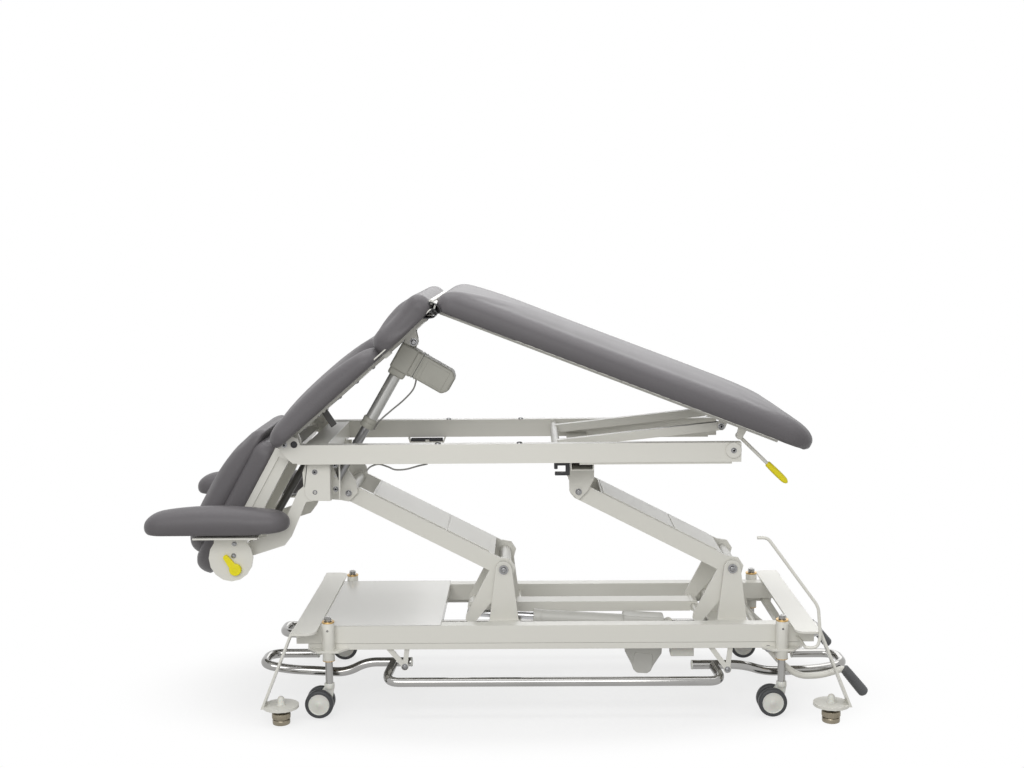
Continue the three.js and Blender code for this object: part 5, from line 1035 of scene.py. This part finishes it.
# Cushions: foam slabs on plywood boards, wrapped in smooth grey leatherette that is
# pulled round the edges and stapled underneath, so they have no piping or seams.
grain, grain_in, grain_out = effect(
    "leather_grain",
    [("Tone A", "NodeSocketColor", WHITE), ("Tone B", "NodeSocketColor", (0, 0, 0, 1)),
     ("Grain Scale", "NodeSocketFloat", 850.0), ("Drift Scale", "NodeSocketFloat", 5.0),
     ("Smooth", "NodeSocketFloat", 0.35), ("Rough", "NodeSocketFloat", 0.5)],
    [("Color", "NodeSocketColor"), ("Roughness", "NodeSocketFloat"), ("Height", "NodeSocketFloat")])
GRAIN_WARP, PORE_DEPTH = 0.0016, 0.22
grain_place = add_node(grain, "TexCoord")
pores = add_node(grain, "TexVoronoi", feature="DISTANCE_TO_EDGE")
warp = add_node(grain, "TexNoise", {"Scale": 240})
warp_mix = add_node(grain, "Mix", {"Factor": GRAIN_WARP}, data_type="RGBA", blend_type="LINEAR_LIGHT")
valley = add_node(grain, "MapRange", {"From Max": PORE_DEPTH}, interpolation_type="SMOOTHSTEP")
drift = add_node(grain, "TexNoise", {"Detail": 5})
drift_tone = add_node(grain, "Mix", data_type="RGBA")
pore_tone = add_node(grain, "Mix", {"Factor": PORE_DEPTH}, data_type="RGBA", blend_type="MULTIPLY")
handled = add_node(grain, "TexNoise", {"Scale": 16, "Detail": 6})
gloss = add_node(grain, "MapRange")
wire(grain, *((grain_place, "Object", texture, "Vector") for texture in (warp, drift, handled)),
     (grain_place, "Object", warp_mix, FIRST_COLOUR), (warp, "Color", warp_mix, SECOND_COLOUR),
     (warp_mix, MIXED_COLOUR, pores, "Vector"), (grain_in, "Grain Scale", pores, "Scale"),
     (pores, "Distance", valley, "Value"), (grain_in, "Drift Scale", drift, "Scale"),
     (drift, "Fac", drift_tone, "Factor"), (grain_in, "Tone A", drift_tone, FIRST_COLOUR),
     (grain_in, "Tone B", drift_tone, SECOND_COLOUR), (drift_tone, MIXED_COLOUR, pore_tone, FIRST_COLOUR),
     (valley, 0, pore_tone, SECOND_COLOUR), (handled, "Fac", gloss, "Value"),
     (grain_in, "Smooth", gloss, "To Min"), (grain_in, "Rough", gloss, "To Max"),
     (pore_tone, MIXED_COLOUR, grain_out, "Color"), (gloss, 0, grain_out, "Roughness"),
     (valley, 0, grain_out, "Height"))
leatherette = finish_with(
    "leatherette", grain,
    {"Tone A": (0.150, 0.142, 0.149, 1), "Tone B": (0.128, 0.121, 0.127, 1), "Grain Scale": 700,
     "Drift Scale": 4, "Smooth": 0.40, "Rough": 0.47},
    {"Specular IOR Level": 0.24}, 0.12, 0.0001)

# A cushion's edge is a soft roll: a quarter turn under, the widest line, and a long
# quarter turn over, both fuller than a circle.
UNDER_STEPS, OVER_STEPS, DOME_STEPS, SIDE_STEPS, CORNER_STEPS = 5, 9, 8, 28, 12
FULLNESS = 2.35


def roll_rows(thick, roll, widest, under):
    """(drawn in, height) pairs up the side of a pad, in millimetres."""
    rows = []
    for step in range(UNDER_STEPS):
        turn = math.pi / 2 * step / UNDER_STEPS
        rows.append((under * (1 - math.sin(turn) ** (2 / FULLNESS)),
                     widest * (1 - math.cos(turn) ** (2 / FULLNESS))))
    for step in range(OVER_STEPS + 1):
        turn = math.pi / 2 * step / OVER_STEPS
        rows.append((roll * (1 - math.cos(turn) ** (2 / FULLNESS)),
                     widest + (thick - widest) * math.sin(turn) ** (2 / FULLNESS)))
    return rows


def along_line(line, x):
    """Smoothly read off a line of (x, top, bottom) marks at x."""
    if not line:
        return 1, 0
    for i in range(len(line) - 1):
        low, high = line[i], line[i + 1]
        if x <= high[0] or i == len(line) - 2:
            before, after = line[max(i - 1, 0)], line[min(i + 2, len(line) - 1)]
            t = min(max((x - low[0]) / (high[0] - low[0]), 0), 1)
            read = []
            for k in (1, 2):
                span = high[0] - low[0]
                slope_low = (high[k] - before[k]) / (high[0] - before[0]) * span
                slope_high = (after[k] - low[k]) / (after[0] - low[0]) * span
                read.append((2 * t ** 3 - 3 * t ** 2 + 1) * low[k] + (t ** 3 - 2 * t ** 2 + t) * slope_low
                            + (3 * t ** 2 - 2 * t ** 3) * high[k] + (t ** 3 - t ** 2) * slope_high)
            return read


def cushion_form(place, along, across, base, thick, crown, radii, roll=40, widest=20, under=12, ends=()):
    """A domed pad on a rounded rectangle. Each end is a line of (x, top, bottom): how
    much of the thickness is left at that place and how far the underside is raised."""
    work = bmesh.new()
    half_x, half_y = (along[1] - along[0]) / 2, (across[1] - across[0]) / 2
    middle_x, middle_y = (along[0] + along[1]) / 2, (across[0] + across[1]) / 2
    narrow = min(half_x, half_y)
    rows = roll_rows(thick, min(roll, narrow - 3), widest, under)
    last = rows[-1][0]
    for step in range(1, DOME_STEPS + 1):
        share = step / (DOME_STEPS + 1)
        rows.append((last + (narrow - 1 - last) * share, thick + crown * (1 - (1 - share) ** 2)))
    rings = []
    for inset, height in rows:
        outline = []
        for corner, (sx, sy) in enumerate(((-1, -1), (1, -1), (1, 1), (-1, 1))):
            size = max(min(radii[corner], narrow) - inset, 0.6)
            size = min(size, half_x - inset, half_y - inset)
            cx = middle_x + sx * (half_x - inset - size)
            cy = middle_y + sy * (half_y - inset - size)
            for step in range(CORNER_STEPS + 1):
                turn = math.pi + (corner + step / CORNER_STEPS) * math.pi / 2
                outline.append(Vector((cx + size * math.cos(turn), cy + size * math.sin(turn))))
        ring = []
        for i, point in enumerate(outline):
            ahead = outline[(i + 1) % len(outline)]
            side_steps = SIDE_STEPS if i % (CORNER_STEPS + 1) == CORNER_STEPS else 1
            for step in range(side_steps):
                x, y = point.lerp(ahead, step / side_steps)
                keep, lift = along_line(ends, x)
                ring.append(work.verts.new(place @ (Vector((x, y, base + lift + height * keep)) * MM)))
        rings.append(ring)
    join_rings(work, rings)
    work.faces.new(list(reversed(rings[0])))
    work.faces.new(rings[-1])
    return work


def remeshed(piece, voxel, smooth=2):
    """Even quads over the whole pad, for the cloth to work on."""
    remesh = piece.modifiers.new("even_quads", "REMESH")
    remesh.mode = "VOXEL"
    remesh.voxel_size = voxel
    remesh.use_smooth_shade = True
    soften = piece.modifiers.new("soften", "SMOOTH")
    soften.iterations = smooth
    soften.factor = 0.5
    return baked(piece)


COVER_CLOTH = {"vertex_group_mass": "stapled", "quality": 4, "use_pressure": True,
               "uniform_pressure_force": 4, "tension_stiffness": 12, "compression_stiffness": 12,
               "bending_stiffness": 0.6}
CLOTH_FRAMES = 20
STAPLED_BELOW = 4


def puffed(piece, place, base, swell):
    """Blows the cover up a little as cloth, keeping its underside flat on the board."""
    rest = [v.co.copy() for v in piece.data.vertices]
    flat = place.inverted()
    pinned = piece.vertex_groups.new(name="stapled")
    staples = [v.index for v in piece.data.vertices if (flat @ v.co).z < (base + STAPLED_BELOW) * MM]
    pinned.add(staples, 1, "REPLACE")
    cloth = piece.modifiers.new("cover", "CLOTH")
    for setting, value in COVER_CLOTH.items():
        setattr(cloth.settings, setting, value)
    cloth.settings.effector_weights.gravity = 0
    cloth.collision_settings.use_self_collision = False
    for frame_number in range(1, CLOTH_FRAMES + 1):
        scene.frame_set(frame_number)
    ready = piece.evaluated_get(bpy.context.evaluated_depsgraph_get())
    moved = [v.co.copy() for v in ready.data.vertices]
    piece.modifiers.clear()
    scene.frame_set(1)
    for vert, before, after in zip(piece.data.vertices, rest, moved):
        step = after - before
        if step.length > swell:
            step *= swell / step.length
        vert.co = before + step
    piece.vertex_groups.clear()
    return piece


def cushion(name, node, body, place, form, voxel=0.009, swell=0.003):
    """An upholstered pad in place of a plain solid."""
    piece = piece_of(name, cushion_form(place, **form), body, leatherette)
    remeshed(piece, voxel)
    puffed(piece, place, form["base"], swell)
    smoothing = piece.modifiers.new("fine", "SUBSURF")
    smoothing.levels = smoothing.render_levels = 1
    baked(piece)
    for face in piece.data.polygons:
        face.use_smooth = True
    settle(piece, body, leatherette)
    if node:
        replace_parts(piece, node)
    return piece


SIDE_PAD = {"along": (-40, 357), "base": 20, "thick": 61, "crown": 0.5, "roll": 54,
            "ends": ((-40, 0.80, 0), (40, 0.92, 0), (130, 1, 0), (215, 1, 0), (290, 0.86, 0), (357, 0.66, 0))}
cushion("centre_pad", "torso_cushion_centre", "torso_section", torso_place,
        {"along": (-40, 374), "across": (-231, 231), "base": 20, "thick": 60, "crown": 12,
         "radii": (34, 34, 34, 34), "ends": ((-40, 0.84, 0), (60, 1, 0), (300, 1, 0), (374, 0.97, 0))})
for side, across, radii in (("near", (-345, -234), (50, 88, 26, 26)), ("far", (234, 345), (26, 26, 88, 50))):
    cushion(f"side_pad_{side}", f"torso_cushion_{side}", "torso_section", torso_place,
            {**SIDE_PAD, "across": across, "radii": radii}, 0.007)
cushion("pelvic_pad", "pelvic_cushion", "torso_section", torso_place,
        {"along": (344, 553), "across": (-345, 345), "base": 20, "thick": 58, "crown": 11, "roll": 44,
         "radii": (60, 34, 34, 60),
         "ends": ((344, 0.92, 0), (430, 1, 0), (500, 1.1, 2), (553, 1.12, 6))}, 0.008)
cushion("leg_pad", "leg_cushion", "leg_section", leg_place,
        {"along": (10, 1117), "across": (-345, 345), "base": -17, "thick": 68, "crown": 16, "roll": 66,
         "widest": 26, "radii": (50, 84, 84, 50),
         "ends": ((10, 0.97, 0), (80, 1.02, 0), (400, 1.01, 0), (1020, 1, 0), (1117, 0.84, 0))}, 0.011)
cushion("head_pad", "head_cushion", "head_section", head_place,
        {"along": (-478, -30), "across": (-212, 212), "base": 22, "thick": 60, "crown": 1, "roll": 30,
         "radii": (112, 40, 40, 112)})
cushion("head_pad_upper", None, "head_section", head_place,
        {"along": (-440, -10), "across": (-198, 198), "base": 70, "thick": 66, "crown": 9, "roll": 44,
         "radii": (112, 40, 40, 112),
         "ends": ((-440, 0.86, 0), (-350, 1, 0), (-270, 1.03, 0), (-180, 1, 0), (-110, 0.84, 0),
                  (-60, 0.62, 0), (-10, 0.42, 0))})
ARMREST_PAD = {"along": (-1130, -727), "base": 537, "thick": 74, "crown": 0.5, "roll": 50, "widest": 30,
               "under": 14, "radii": (50, 50, 50, 50),
               "ends": ((-1134, 0.66, 0), (-1080, 0.86, 0), (-1010, 0.98, 0), (-941, 1.02, 0),
                        (-870, 0.99, 0), (-800, 0.87, 3), (-729, 0.66, 10))}
for side, across in (("near", (-357, -255)), ("far", (255, 357))):
    cushion(f"armrest_pad_{side}_cover", f"armrest_cushion_{side}", f"armrest_pad_{side}", GROUND,
            {**ARMREST_PAD, "across": across}, 0.006)
